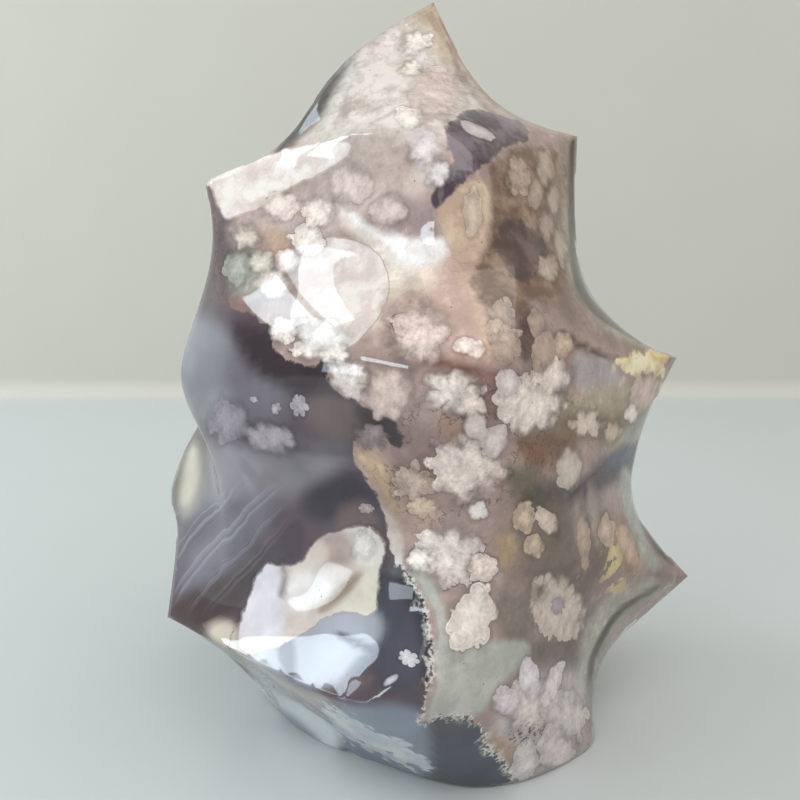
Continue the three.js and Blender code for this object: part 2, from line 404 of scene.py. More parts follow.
# %% Washes of the peak and the left shoulder
ROSE_TAUPE = (168, 147, 140)
PALE_WASHES = {
    # name: colour, softness of the edge in pixels, strength, outline
    "peak": ((208, 196, 187), 22, 0.9, [
        (345, 40), (430, -5), (470, 60), (500, 110), (440, 150), (380, 150), (280, 160)]),
    "peak_tip": ((188, 171, 147), 10, 0.9, [
        (418, -8), (442, -8), (462, 30), (474, 62), (452, 72), (430, 52), (412, 24)]),
    "peak_right_face": ((160, 144, 126), 5, 0.9, [
        (438, -8), (446, -8), (470, 44), (500, 96), (540, 118), (500, 112), (478, 96), (458, 52)]),
    "peak_left_edge": ((88, 86, 84), 5, 0.95, [
        (352, 36), (364, 46), (350, 74), (336, 102), (312, 130), (268, 164), (290, 124), (322, 70)]),
    "peak_left_light": ((206, 206, 196), 4, 0.8, [
        (356, 62), (362, 66), (344, 96), (326, 122), (312, 134), (328, 104), (344, 80)]),
    "peak_line": ((128, 112, 102), 2.5, 0.8, [
        (440, 6), (444, 8), (452, 40), (462, 72), (478, 98), (500, 116), (492, 116), (470, 96),
        (456, 72), (446, 42)]),
    "shoulder_slope": ((206, 200, 190), 8, 0.8, [
        (372, 98), (388, 118), (372, 130), (330, 138), (292, 148), (318, 128), (346, 112)]),
    "saddle": ((208, 192, 184), 20, 0.9, [
        (300, 170), (350, 150), (400, 150), (440, 190), (440, 240), (380, 232), (330, 205)]),
    "saddle_violet": ((166, 146, 146), 10, 0.9, [
        (395, 196), (434, 196), (444, 220), (432, 240), (402, 234), (384, 220)]),
    "shoulder_pale": ((206, 190, 186), 14, 0.85, [
        (232, 216), (262, 204), (300, 190), (330, 196), (344, 222), (330, 244), (300, 250), (262, 232)]),
    "left_shoulder_dark": ((112, 100, 104), 8, 0.95, [
        (214, 196), (226, 196), (236, 232), (246, 262), (250, 280), (236, 306), (216, 304), (212, 250)]),
    "left_edge": ((142, 138, 136), 5, 0.9, [
        (196, 175), (209, 180), (213, 240), (214, 300), (196, 300)]),
    "left_peach": ((192, 164, 142), 9, 0.8, [
        (262, 225), (286, 230), (298, 250), (288, 262), (266, 246)]),
    "left_white": ((184, 173, 167), 8, 0.85, [
        (226, 226), (240, 222), (262, 250), (284, 276), (286, 300), (266, 304), (250, 280), (236, 250)]),
    "left_green": ((160, 164, 152), 6, 0.8, [
        (226, 255), (250, 250), (262, 280), (256, 302), (230, 298)]),
    "left_brown": ((146, 120, 112), 10, 0.9, [
        (200, 304), (232, 296), (262, 300), (274, 330), (262, 342), (226, 326)]),
}

# %% [markdown]
# The middle of the pale stone is rosy, between a cream streak and clusters of blossoms,
# and browner towards the thin neck at the right, which ends in dark and clear lines where
# the light bends in the edge of the stone. Thin lines like these are crisper washes.

# %% Washes of the heart and the neck
PALE_WASHES |= {
    "cream_streak": ((234, 218, 202), 8, 0.95, [
        (386, 262), (440, 250), (462, 262), (452, 282), (420, 294), (396, 312), (372, 334), (360, 326)]),
    "cream_wedge": ((236, 226, 216), 4, 0.9, [
        (332, 202), (346, 208), (362, 224), (386, 246), (424, 256), (420, 276), (392, 292), (384, 264),
        (366, 246), (350, 236)]),
    # Partly milky stone, partly painted reflection: painted near white where the saddle shows glare.
    "milky_stone_and_painted_glare": ((250, 248, 248), 5, 0.85, [
        (378, 232), (402, 242), (430, 248), (448, 242), (452, 256), (436, 268), (408, 268), (390, 254)]),
    # Painted highlight: a thin near-white strip along the top of that glare.
    "painted_glare_seam": ((255, 253, 252), 2.5, 0.9, [
        (338, 207), (354, 214), (374, 228), (394, 236), (420, 240), (446, 237), (450, 243), (430, 250),
        (400, 246), (376, 237), (354, 222)]),
    "heart_rose": ((196, 167, 155), 16, 0.95, [
        (436, 262), (478, 240), (496, 300), (505, 340), (480, 366), (438, 362), (424, 322)]),
    "heart_light": ((212, 184, 162), 6, 0.8, [
        (462, 262), (478, 300), (502, 350), (498, 372), (478, 334), (460, 290)]),
    "upper_cluster": ((178, 156, 150), 12, 0.8, [
        (336, 362), (400, 372), (470, 372), (520, 366), (566, 366), (572, 400), (540, 436), (490, 424),
        (440, 412), (400, 420), (366, 404)]),
    "middle_cluster": ((172, 152, 146), 12, 0.8, [
        (430, 440), (480, 430), (512, 444), (514, 480), (484, 506), (436, 500), (424, 470)]),
    "low_cluster": ((184, 166, 160), 12, 0.8, [
        (408, 540), (440, 516), (490, 528), (504, 570), (492, 640), (456, 664), (444, 610)]),
    "rose_line": ((132, 92, 82), 4, 0.9, [
        (424, 356), (450, 360), (480, 368), (500, 372), (500, 380), (470, 374), (440, 368), (424, 362)]),
    "brown_gap": ((98, 78, 74), 6, 0.95, [
        (516, 318), (526, 300), (536, 318), (538, 340), (530, 366), (518, 358)]),
    "neck_brown": ((122, 104, 96), 10, 0.9, [
        (524, 268), (560, 262), (580, 290), (580, 326), (556, 314), (534, 300)]),
    "neck_light": ((158, 148, 136), 3, 0.85, [
        (556, 150), (566, 146), (568, 220), (572, 262), (584, 300), (574, 300), (564, 262), (560, 200)]),
    "neck_outer": ((150, 154, 144), 2, 0.9, [
        (576, 134), (584, 134), (586, 220), (592, 280), (612, 326), (600, 320), (584, 290), (577, 250)]),
    "neck_edge": ((44, 44, 40), 2, 0.97, [
        (569, 140), (577, 136), (578, 180), (576, 220), (577, 254), (583, 284), (596, 308), (588, 312),
        (574, 290), (569, 254), (568, 200)]),
}

# %% [markdown]
# The right horn has a grey glassy top, a grey window of clearer stone, gold and rust under
# it, and below those an olive patch and a violet vein that runs out to the edge.

# %% Washes of the horn and the waist
PALE_WASHES |= {
    "horn_top": ((144, 126, 115), 8, 0.9, [
        (572, 290), (592, 310), (630, 336), (676, 350), (660, 362), (612, 350), (580, 334)]),
    "horn_glassy": ((158, 154, 142), 3, 0.9, [
        (592, 306), (626, 326), (656, 340), (676, 348), (676, 364), (668, 358), (640, 348), (600, 326)]),
    "horn_brown_line": ((70, 62, 54), 2, 0.9, [
        (584, 288), (594, 304), (626, 325), (655, 341), (668, 348), (654, 347), (624, 335), (588, 312)]),
    "horn_under_line": ((68, 52, 46), 2.5, 0.9, [
        (560, 330), (576, 340), (606, 354), (624, 358), (606, 360), (574, 347), (556, 336)]),
    "horn_tip_edge": ((128, 124, 112), 2, 0.85, [
        (671, 350), (680, 350), (680, 366), (664, 388), (650, 404), (656, 390), (668, 372)]),
    "horn_grey": ((182, 174, 174), 3, 0.9, [
        (574, 352), (592, 356), (612, 360), (622, 376), (622, 392), (606, 402), (586, 397), (573, 377)]),
    "horn_low": ((182, 166, 142), 10, 0.9, [
        (560, 396), (620, 380), (660, 384), (656, 408), (640, 440), (600, 448), (556, 430)]),
    "gold_brown": ((134, 110, 84), 8, 0.9, [
        (566, 412), (600, 414), (632, 408), (640, 430), (606, 446), (576, 440), (556, 424)]),
    "rust": ((126, 90, 64), 8, 0.9, [
        (514, 440), (540, 430), (572, 432), (584, 444), (562, 452), (548, 472), (526, 468)]),
    "olive": ((98, 93, 74), 9, 0.9, [
        (506, 466), (530, 466), (550, 484), (552, 502), (530, 512), (508, 498)]),
    "vein_start": ((74, 63, 58), 7, 0.9, [
        (520, 496), (540, 486), (556, 482), (570, 490), (566, 512), (540, 516), (524, 510)]),
    "violet_vein": ((58, 48, 58), 6, 0.93, [
        (552, 484), (572, 488), (590, 470), (612, 450), (642, 436), (642, 466), (616, 482), (590, 498),
        (562, 506)]),
    "blue_vein": ((86, 92, 116), 5, 0.8, [
        (604, 460), (622, 448), (638, 444), (634, 460), (612, 470)]),
    "gap_left": ((136, 106, 100), 8, 0.9, [
        (478, 376), (500, 372), (506, 400), (500, 424), (484, 414)]),
    "rust_spot": ((180, 146, 130), 6, 0.8, [
        (438, 418), (456, 416), (464, 434), (450, 442), (438, 436)]),
    "waist_mauve": ((142, 120, 116), 10, 0.9, [
        (382, 420), (430, 425), (440, 456), (420, 492), (392, 480)]),
}

# %% [markdown]
# Below the vein the stone is taupe with tan and gold lobes, the low spur has greenish
# facets and dark lines, and the foot is lilac.

# %% Washes of the spur and the foot
PALE_WASHES |= {
    "low_taupe": ((118, 102, 91), 20, 0.9, [
        (508, 505), (600, 505), (640, 540), (600, 580), (590, 640), (540, 600), (510, 560)]),
    "ochre": ((184, 160, 124), 7, 0.85, [
        (496, 534), (514, 532), (520, 556), (508, 572), (494, 562)]),
    "gold_lobe": ((188, 156, 128), 7, 0.85, [
        (610, 520), (632, 530), (646, 556), (636, 576), (616, 562)]),
    "spur_mauve": ((146, 130, 124), 4, 0.9, [
        (644, 540), (664, 556), (690, 578), (670, 586), (652, 580), (646, 562)]),
    "spur_facets": ((176, 174, 162), 3, 0.9, [
        (588, 618), (610, 596), (634, 586), (656, 576), (662, 582), (636, 596), (612, 612), (598, 636),
        (590, 664), (580, 700), (572, 700), (580, 650)]),
    "spur_outer": ((158, 160, 148), 3, 0.9, [
        (690, 580), (660, 592), (626, 614), (606, 640), (598, 680), (600, 750), (590, 750), (590, 680),
        (600, 640), (620, 608), (656, 588)]),
    "spur_dark_line": ((78, 80, 74), 2, 0.92, [
        (662, 584), (654, 592), (640, 600), (618, 616), (602, 644), (592, 668), (593, 732), (586, 732),
        (586, 664), (597, 640), (613, 612), (638, 595)]),
    "spur_glassy": ((168, 174, 166), 3, 0.85, [
        (618, 470), (630, 466), (636, 510), (648, 546), (664, 566), (654, 574), (640, 556), (626, 516)]),
    "spur_outline": ((50, 52, 48), 2, 0.9, [
        (632, 478), (638, 496), (644, 520), (658, 546), (676, 566), (670, 564), (652, 548), (640, 524),
        (633, 498)]),
    "neck_below": ((164, 166, 156), 4, 0.8, [
        (634, 420), (646, 410), (640, 440), (634, 446), (618, 440), (626, 428)]),
    "gap_streaks": ((176, 160, 150), 3, 0.8, [
        (588, 486), (594, 484), (600, 520), (604, 548), (596, 550), (588, 520)]),
    "gap_streak_low": ((172, 154, 142), 3, 0.7, [
        (574, 500), (580, 498), (586, 540), (590, 570), (582, 570), (574, 540)]),
    "low_shade": ((130, 118, 108), 10, 0.85, [
        (498, 588), (528, 596), (536, 640), (508, 650), (496, 626)]),
    "low_dark": ((108, 96, 92), 7, 0.95, [
        (526, 640), (556, 640), (578, 624), (580, 668), (566, 696), (548, 680), (536, 668)]),
    "ochre_tongue": ((198, 170, 140), 6, 0.95, [
        (350, 450), (376, 450), (392, 474), (402, 506), (410, 548), (394, 542), (384, 500), (366, 470)]),
    "rose_tongue": ((186, 160, 148), 10, 0.9, [
        (398, 478), (424, 496), (448, 506), (436, 530), (404, 552), (400, 516)]),
    "bottom_lilac": ((190, 182, 182), 12, 0.9, [
        (500, 690), (560, 660), (594, 690), (588, 752), (524, 785), (490, 750)]),
    "bottom_tan": ((180, 156, 128), 6, 0.85, [
        (482, 738), (506, 736), (520, 752), (510, 768), (490, 758)]),
}

# %% [markdown]
# The cream lumps low on the left lie in the dark stone, so they take their colours from
# washes that no other pale patch covers: white columns, rosy gaps and a gold streak. At
# their left lies a painted reflection of the panes, split by a painted dark bar.

# %% Washes of the cream lumps
PALE_WASHES |= {
    "lump_ground": ((222, 212, 204), 4, 0.97, [
        (222, 510), (310, 500), (400, 500), (404, 600), (380, 660), (300, 680), (222, 676)]),
    "lump_rose": ((176, 152, 144), 7, 0.85, [
        (318, 536), (336, 528), (352, 536), (358, 562), (330, 568), (306, 562)]),
    "lump_column": ((240, 236, 232), 5, 0.9, [
        (354, 526), (368, 526), (382, 544), (380, 566), (362, 566), (354, 548)]),
    "lump_crown": ((224, 216, 206), 5, 0.85, [
        (308, 548), (320, 538), (330, 548), (326, 566), (300, 570), (292, 562)]),
    "lump_cream": ((228, 222, 206), 4, 0.9, [
        (366, 568), (378, 568), (380, 600), (370, 624), (344, 620), (338, 606), (352, 588)]),
    "lump_gold": ((150, 128, 106), 4, 0.85, [
        (366, 568), (356, 586), (340, 602), (322, 614), (314, 612), (330, 596), (346, 578)]),
    "lump_white": ((246, 242, 240), 7, 0.9, [
        (292, 572), (320, 572), (334, 584), (322, 600), (296, 614), (284, 596)]),
    # Painted reflection: the panes' glare painted pale lilac-white over the lumps' left part.
    "pane_reflection_painted_on_lumps": ((232, 228, 238), 5, 0.9, [
        (264, 556), (280, 562), (284, 600), (284, 640), (262, 656), (240, 652), (240, 616), (250, 584)]),
    # Painted reflection: a dark bar between two panes, painted across the lumps.
    "painted_bar_on_lumps": ((128, 118, 120), 2.5, 0.85, [
        (281, 560), (288, 562), (287, 580), (283, 600), (278, 596), (282, 578)]),
}

# %% [markdown]
# The dark stone gets washes of its own, because it shows through in other places than the
# pale one. On the left it is grey-blue where the bulge turns away and nearly black in the
# core beside the pale stone.

# %% Washes of the dark bulge and the waist
NIGHT_VIOLET = (92, 80, 88)
DARK_WASHES = {
    "shoulder": ((126, 116, 118), 14, 0.95, [
        (150, 160), (224, 176), (262, 262), (246, 306), (204, 310), (150, 300)]),
    "left_bulge": ((158, 161, 169), 18, 0.95, [
        (170, 300), (215, 318), (238, 350), (232, 400), (210, 430), (175, 420)]),
    "bulge_middle": ((120, 115, 126), 16, 0.85, [
        (225, 340), (262, 360), (290, 385), (280, 430), (235, 420), (222, 380)]),
    "core": ((52, 41, 50), 8, 0.97, [
        (228, 320), (262, 326), (296, 354), (336, 368), (348, 396), (326, 404), (290, 394), (256, 374),
        (236, 350)]),
    "core_right": ((114, 99, 98), 10, 0.9, [
        (312, 392), (352, 398), (372, 420), (354, 444), (326, 440), (304, 412)]),
    "core_edge": ((60, 48, 52), 7, 0.95, [
        (350, 400), (385, 412), (404, 434), (400, 456), (382, 442), (362, 432)]),
    "waist": ((148, 145, 153), 18, 0.9, [
        (205, 430), (262, 452), (330, 450), (350, 460), (330, 480), (280, 500), (230, 520), (190, 500)]),
    "waist_line": ((82, 74, 82), 3, 0.7, [
        (290, 446), (330, 447), (352, 450), (352, 455), (320, 452), (290, 451)]),
    "navy": ((50, 44, 58), 11, 0.97, [
        (300, 492), (352, 466), (380, 490), (392, 540), (372, 548), (340, 524), (306, 520)]),
    "navy_brown": ((112, 92, 94), 8, 0.9, [
        (336, 512), (350, 502), (368, 500), (384, 526), (374, 548), (352, 536), (336, 530)]),
    "navy_right": ((84, 66, 70), 6, 0.9, [
        (376, 520), (388, 540), (392, 570), (388, 600), (378, 590), (380, 560), (370, 535)]),
}

# %% [markdown]
# Lower down the dark stone is banded, and a smaller lobe behind it shows at the left edge.

# %% Washes of the banded stone
DARK_WASHES |= {
    "banded": ((118, 116, 130), 14, 0.9, [
        (178, 505), (240, 490), (276, 496), (262, 540), (220, 578), (176, 605)]),
    "band_shadow": ((80, 74, 88), 9, 0.85, [
        (186, 520), (214, 506), (244, 500), (232, 518), (204, 540), (184, 556)]),
    "below_bands": ((74, 66, 75), 4, 0.95, [
        (270, 546), (300, 512), (308, 545), (284, 570), (246, 594), (236, 612), (206, 604), (212, 593),
        (240, 574)]),
    "spur_dark": ((76, 64, 66), 8, 0.95, [
        (168, 604), (225, 576), (256, 566), (240, 600), (216, 636), (176, 624)]),
    "corner_cream": ((222, 212, 196), 6, 0.9, [
        (206, 626), (224, 618), (240, 628), (242, 654), (226, 650), (210, 638)]),
    "back_lobe": ((176, 172, 160), 8, 0.9, [
        (170, 430), (196, 434), (206, 470), (196, 512), (176, 520)]),
    "back_lobe_white": ((220, 214, 198), 5, 0.9, [
        (190, 446), (198, 450), (200, 476), (192, 500), (182, 508), (180, 490)]),
    "back_lobe_edge": ((122, 120, 114), 3, 0.8, [
        (190, 434), (194, 436), (182, 470), (176, 506), (170, 514), (170, 480)]),
}

# %% [markdown]
# The slate runs from beside the lumps down to the foot, with thin darker seams. Its
# underside is painted paler, as painted light where it faces the floor, and under the
# panes' highlights it is painted pale as a painted reflection, crossed by a painted dark bar.

# %% Washes of the slate
DARK_WASHES |= {
    "slate_side": ((74, 78, 92), 14, 0.9, [
        (378, 560), (430, 600), (436, 660), (410, 700), (372, 680), (368, 620)]),
    "slate_rim": ((50, 48, 60), 7, 0.8, [
        (392, 556), (412, 580), (434, 616), (436, 680), (424, 690), (420, 630), (402, 592)]),
    "slate_foot": ((64, 73, 88), 12, 0.9, [
        (412, 722), (480, 722), (520, 770), (500, 800), (420, 790)]),
    # Painted light: the underside is painted paler than the slate, where it faces the floor.
    "slate_under_painted_light": ((142, 154, 172), 8, 0.9, [
        (330, 704), (370, 706), (400, 704), (430, 716), (430, 790), (380, 780), (340, 756)]),
    # Painted light: near white on the underside, where it faces the floor.
    "slate_left_painted_light": ((240, 248, 252), 8, 0.9, [
        (240, 672), (290, 696), (322, 708), (344, 736), (330, 762), (270, 740), (240, 700)]),
    "slate_patch": ((104, 114, 132), 5, 0.8, [
        (272, 704), (290, 712), (310, 730), (324, 744), (306, 740), (284, 726)]),
    "ledge_rim": ((206, 200, 190), 4, 0.9, [
        (232, 646), (262, 664), (300, 690), (334, 700), (322, 708), (294, 700), (254, 678)]),
    # Painted reflection: a pale wash where the panes' glare lies on the slate.
    "painted_reflection_under_panes": ((184, 190, 202), 7, 0.9, [
        (240, 640), (290, 626), (318, 612), (376, 606), (386, 632), (364, 656), (332, 690), (296, 684),
        (256, 666)]),
    # Painted reflection: a dark bar between two panes, painted on the slate.
    "painted_bar_on_slate": ((92, 90, 112), 3, 0.85, [
        (276, 628), (290, 626), (296, 650), (296, 684), (284, 676), (276, 650)]),
    "slate_seam_right": ((66, 70, 86), 2.5, 0.9, [
        (336, 630), (360, 640), (384, 651), (380, 658), (356, 647), (336, 637)]),
    "slate_low_seam": ((104, 110, 128), 3, 0.85, [
        (366, 650), (376, 656), (348, 688), (336, 690)]),
    "slate_rust": ((126, 112, 110), 4, 0.6, [
        (344, 688), (352, 676), (368, 674), (376, 678), (362, 688), (350, 696)]),
}

# %% [markdown]
# The washes are laid in order and kept as two colours on every vertex, one for the pale
# stone and one for the dark. A thin line that runs along the edge of the front would be
# drawn out into a broad smear on the side, so thin lines fade where the stone turns away.

# %% Lay the washes and keep them
LINE_SOFTNESS = 3
line_share = eased(facing_eye, 0.0, 0.14)


def washed(base, washes):
    """One soft colour over another, at every vertex, with thin lines kept off the sides."""
    colours = np.tile(linear(base), (len(points), 1))
    for colour, softness, strength, outline in washes.values():
        share = eased(-beyond(outline, lookup_x, lookup_y), -softness, softness) * strength
        if softness <= LINE_SOFTNESS:
            share = share * line_share
        colours += (linear(colour) - colours) * share[:, None]
    return colours


def keep_colours(name, domain, colours):
    """Stores one colour for each vertex or face corner, for the material to read."""
    kept = stone.data.attributes.new(name, "FLOAT_COLOR", domain)
    kept.data.foreach_set("color", np.hstack([colours, np.ones((len(colours), 1))]).ravel())


keep_colours("pale_stone", "POINT", washed(ROSE_TAUPE, PALE_WASHES))
keep_colours("dark_stone", "POINT", washed(NIGHT_VIOLET, DARK_WASHES))
print(len(PALE_WASHES), "pale washes and", len(DARK_WASHES), "dark ones")

# %% [markdown]
# ## The crisp patches
#
# Some patches end at a clear line: the dark violet body on the left, the slate at the
# foot, the cream band and lumps. Each gets a signed distance in millimetres, below zero
# inside, and three distances share one vector attribute. A mask painted on the vertices
# would be simpler, but its edge could be no finer than the mesh. The cream band is partly
# pale stone and partly a painted highlight, drawn near white where the shoulder shows glare.

# %% Outline the crisp patches
PATCHES = {
    "night": [
        (90, 176), (206, 178), (212, 200), (215, 222), (218, 240), (216, 264), (214, 284), (218, 296),
        (232, 306), (256, 318), (271, 324), (275, 334), (268, 344), (280, 356), (300, 362), (312, 368),
        (322, 358), (332, 364), (330, 384), (345, 396), (365, 404), (386, 414), (402, 432), (402, 450),
        (390, 447), (376, 431), (356, 438), (351, 455), (366, 480), (384, 512), (388, 540), (390, 570),
        (384, 580), (350, 584), (310, 584), (280, 600), (262, 620), (244, 650), (240, 700), (190, 690),
        (150, 640), (90, 610)],
    "slate": [
        (384, 545), (394, 556), (410, 578), (426, 606), (433, 635), (430, 660), (433, 680), (424, 700),
        (420, 724), (439, 718), (468, 712), (481, 724), (486, 746), (508, 760), (516, 800), (480, 830),
        (420, 830), (340, 800), (280, 760), (240, 700), (230, 668), (232, 630), (244, 594), (258, 564),
        (290, 554), (304, 543), (336, 528), (360, 520), (376, 526)],
    "lumps": [
        (264, 560), (280, 566), (304, 562), (314, 538), (338, 531), (358, 524), (376, 530), (386, 546),
        (379, 566), (378, 596), (372, 620), (346, 610), (320, 618), (300, 638), (262, 654), (240, 654),
        (237, 630), (248, 594)],
    "band": [
        (204, 182), (212, 172), (262, 156), (300, 145), (353, 138), (348, 158), (316, 176), (294, 184),
        (270, 203), (240, 216), (224, 222), (217, 206), (214, 190)],
    "orchid": [
        (444, 130), (458, 114), (474, 108), (500, 112), (530, 128), (528, 141), (508, 144), (496, 154),
        (484, 165), (470, 175), (452, 192), (436, 208), (430, 202), (440, 184), (448, 172), (452, 158),
        (446, 146)],
    "peach": [
        (440, 206), (452, 192), (468, 180), (484, 178), (492, 190), (490, 226), (482, 256), (466, 266),
        (450, 256), (446, 240), (436, 225)],
    "tan": [
        (484, 184), (497, 160), (520, 146), (548, 150), (566, 156), (568, 200), (564, 250), (566, 286),
        (556, 306), (532, 296), (520, 318), (500, 318), (480, 296), (470, 276), (482, 262), (490, 236)],
    "mauve": [
        (496, 240), (500, 226), (512, 217), (530, 226), (544, 238), (546, 256), (536, 276), (520, 284),
        (506, 270), (494, 256)],
    "glare": [
        (304, 244), (330, 234), (368, 244), (386, 262), (391, 288), (382, 314), (366, 334), (350, 350),
        (318, 354), (300, 340), (288, 328), (290, 308), (300, 290), (296, 266)],
    "green": [
        (433, 580), (448, 610), (450, 650), (500, 640), (530, 642), (528, 662), (502, 682), (482, 718),
        (440, 718), (426, 720), (430, 698), (438, 680), (434, 655), (438, 625), (424, 594), (408, 568),
        (420, 566)],
    "yellow": [
        (612, 358), (640, 350), (664, 350), (667, 368), (660, 382), (648, 374), (634, 378), (621, 370)],
    "foot": [
        (300, 698), (330, 706), (352, 716), (364, 730), (392, 738), (416, 750), (434, 772), (410, 768),
        (380, 754), (350, 742), (334, 728), (314, 714)],
}

# %% [markdown]
# Other markings are kept to a place without filling it: the fine bands of the dark stone,
# the brown curls between the blossoms, the plumes of the peak, a little gold and a few
# dark specks. Each of those gets a soft mask, and the bands also get a line to run along.

# %% Outline the masks
BANDED = [(172, 505), (240, 486), (282, 488), (276, 530), (238, 580), (172, 618)]
BANDS_RUN_ALONG = [(120, 690), (196, 574), (222, 545), (258, 508), (330, 440), (90, 300), (60, 640)]
BANDED_SOFTNESS = 16
CURLS = [
    (352, 430), (392, 418), (430, 400), (470, 372), (520, 372), (560, 392), (604, 402), (606, 440),
    (540, 476), (500, 512), (440, 526), (404, 524), (384, 484), (356, 458)]
PLUMES = [
    (360, 44), (404, 14), (430, 32), (434, 66), (470, 84), (484, 104), (440, 116), (436, 160),
    (430, 186), (412, 170), (400, 130), (372, 122), (318, 140), (330, 104), (346, 72)]
GOLD = [(604, 536), (622, 530), (634, 556), (626, 584), (612, 596), (600, 580), (606, 560)]
SPECKS = [(500, 738), (520, 724), (546, 714), (554, 726), (532, 742), (508, 750)]
MARK_SOFTNESS = 9


# %% [markdown]
# Now the distances and masks are worked out at every vertex and stored.

# %% Measure the patches and the masks
def keep_vectors(name, domain, vectors):
    """Stores one vector for each vertex or face corner, for the material to read."""
    kept = stone.data.attributes.new(name, "FLOAT_VECTOR", domain)
    kept.data.foreach_set("vector", np.ascontiguousarray(vectors, float).ravel())


patch_names = list(PATCHES)
for first in range(0, len(patch_names), 3):
    trio = patch_names[first:first + 3]
    gaps = [beyond(PATCHES[name], lookup_x, lookup_y) * pixel_mm for name in trio]
    keep_vectors("patches_" + str(first // 3), "POINT", np.stack(gaps, 1))
banded = eased(-beyond(BANDED, lookup_x, lookup_y), -BANDED_SOFTNESS, BANDED_SOFTNESS)
along = beyond(BANDS_RUN_ALONG, lookup_x, lookup_y) * pixel_mm
specked = eased(-beyond(SPECKS, lookup_x, lookup_y), -MARK_SOFTNESS, MARK_SOFTNESS)
keep_vectors("banding", "POINT", np.stack([along, banded, specked], 1))
marks = [
    eased(-beyond(outline, lookup_x, lookup_y), -MARK_SOFTNESS, MARK_SOFTNESS)
    for outline in (CURLS, PLUMES, GOLD)
]
keep_vectors("marks", "POINT", np.stack(marks, 1))
print(len(PATCHES), "patches and", 2 + len(marks), "masks")

# %% [markdown]
# ## The blossoms
#
# Each blossom is a spray of tiny chalcedony spheres, five to twelve millimetres across.
# On the front they stand where the photograph shows them. Every corner of every face is
# told where it lies in its nearest blossom, counted in that blossom's own half width and
# half height, and the material draws petals from that. Cells of noise would be quicker,
# but these blossoms have places, sizes and tints of their own. The large ones of the
# middle and the foot come first.

# %% Blossoms of the middle and the foot
CREAM = (246, 236, 228)
ROSE = (244, 228, 220)
PEARL = (230, 218, 212)
BLUSH = (224, 204, 196)
LILAC = (226, 212, 209)
PEACH = (222, 202, 188)
TAN = (204, 182, 162)
BUFF = (186, 166, 152)
DRAB = (178, 158, 144)
ASH = (186, 180, 184)
SMOKE = (146, 138, 148)
FRONT_BLOSSOMS = [
    # x, y, half width, half height, turn, petals, petal depth, grain, tint
    (408, 314, 24, 28, 10, 4, 0.04, 0.3, (200, 176, 166)),
    (419, 334, 29, 31, 0, 7, 0.26, 0.9, BLUSH),
    (348, 378, 22, 20, 0, 7, 0.25, 1.0, PEARL),
    (388, 391, 26, 28, 20, 5, 0.16, 0.5, BLUSH),
    (452, 392, 30, 22, 8, 5, 0.45, 0.9, CREAM),
    (470, 404, 16, 16, 0, 5, 0.3, 0.9, ROSE),
    (528, 404, 34, 30, 0, 7, 0.26, 0.7, ROSE),
    (553, 376, 18, 17, 0, 5, 0.08, 0.5, ROSE),
    (508, 382, 13, 14, 0, 5, 0.1, 0.4, LILAC),
    (467, 468, 38, 32, 5, 8, 0.22, 0.8, ROSE),
    (462, 462, 16, 12, 0, 6, 0.2, 0.8, CREAM),
    (494, 441, 16, 15, -30, 4, 0.08, 0.4, LILAC),
    (476, 426, 11, 15, -20, 4, 0.04, 0.2, LILAC),
    (449, 556, 38, 30, 10, 8, 0.36, 0.9, PEARL),
    (482, 568, 16, 14, 10, 6, 0.3, 0.9, ROSE),
    (420, 560, 14, 12, 0, 6, 0.3, 0.9, CREAM),
    (472, 618, 20, 36, 22, 4, 0.1, 0.4, CREAM),
    (559, 606, 27, 34, -20, 13, 0.12, 0.4, (216, 198, 186)),
    (558, 605, 8, 9, 0, 5, 0.1, 0.2, (178, 162, 168)),
    (532, 706, 28, 27, 0, 6, 0.2, 0.5, LILAC),
    (529, 678, 10, 22, -12, 4, 0.05, 0.4, (232, 224, 226)),
    (552, 684, 8, 22, 24, 4, 0.05, 0.4, (228, 218, 220)),
    (505, 702, 13, 15, -8, 4, 0.12, 0.5, (228, 218, 220)),
    (564, 716, 22, 26, -15, 5, 0.12, 0.4, (214, 204, 202)),
    (525, 762, 13, 20, 12, 4, 0.08, 0.3, (222, 214, 212)),
    (556, 750, 18, 24, -12, 4, 0.08, 0.3, (212, 202, 200)),
]

# %% [markdown]
# On the right they are smaller and tanner, some of them plain drops.

# %% Blossoms of the right side
FRONT_BLOSSOMS += [
    (524, 517, 11, 15, 10, 5, 0.14, 0.9, TAN),
    (547, 521, 9, 15, -35, 5, 0.1, 0.7, PEACH),
    (534, 546, 10, 11, 0, 5, 0.14, 0.9, TAN),
    (563, 345, 12, 12, 0, 4, 0.03, 0.3, TAN),
    (536, 322, 8, 14, -8, 4, 0.05, 0.3, DRAB),
    (543, 352, 11, 20, 12, 4, 0.12, 0.4, BUFF),
    (503, 314, 13, 16, 0, 6, 0.3, 0.8, BUFF),
    (506, 345, 15, 20, 15, 6, 0.25, 0.8, BUFF),
    (496, 330, 9, 12, 0, 5, 0.2, 0.7, TAN),
    (586, 424, 18, 15, 0, 6, 0.4, 0.7, PEACH),
    (645, 393, 14, 22, 30, 4, 0.05, 0.3, (214, 190, 178)),
    (632, 414, 8, 9, 0, 4, 0.05, 0.2, ROSE),
    (569, 468, 13, 21, 0, 4, 0.03, 0.1, (210, 197, 184)),
    (464, 345, 11, 8, 0, 5, 0.15, 0.7, ROSE),
    (476, 350, 9, 8, 0, 5, 0.15, 0.7, ROSE),
]

# %% [markdown]
# Round the peak and the left shoulder they are faint and milky, and in the dark stone
# ash-coloured. The last few are the feathery ones of the neck.

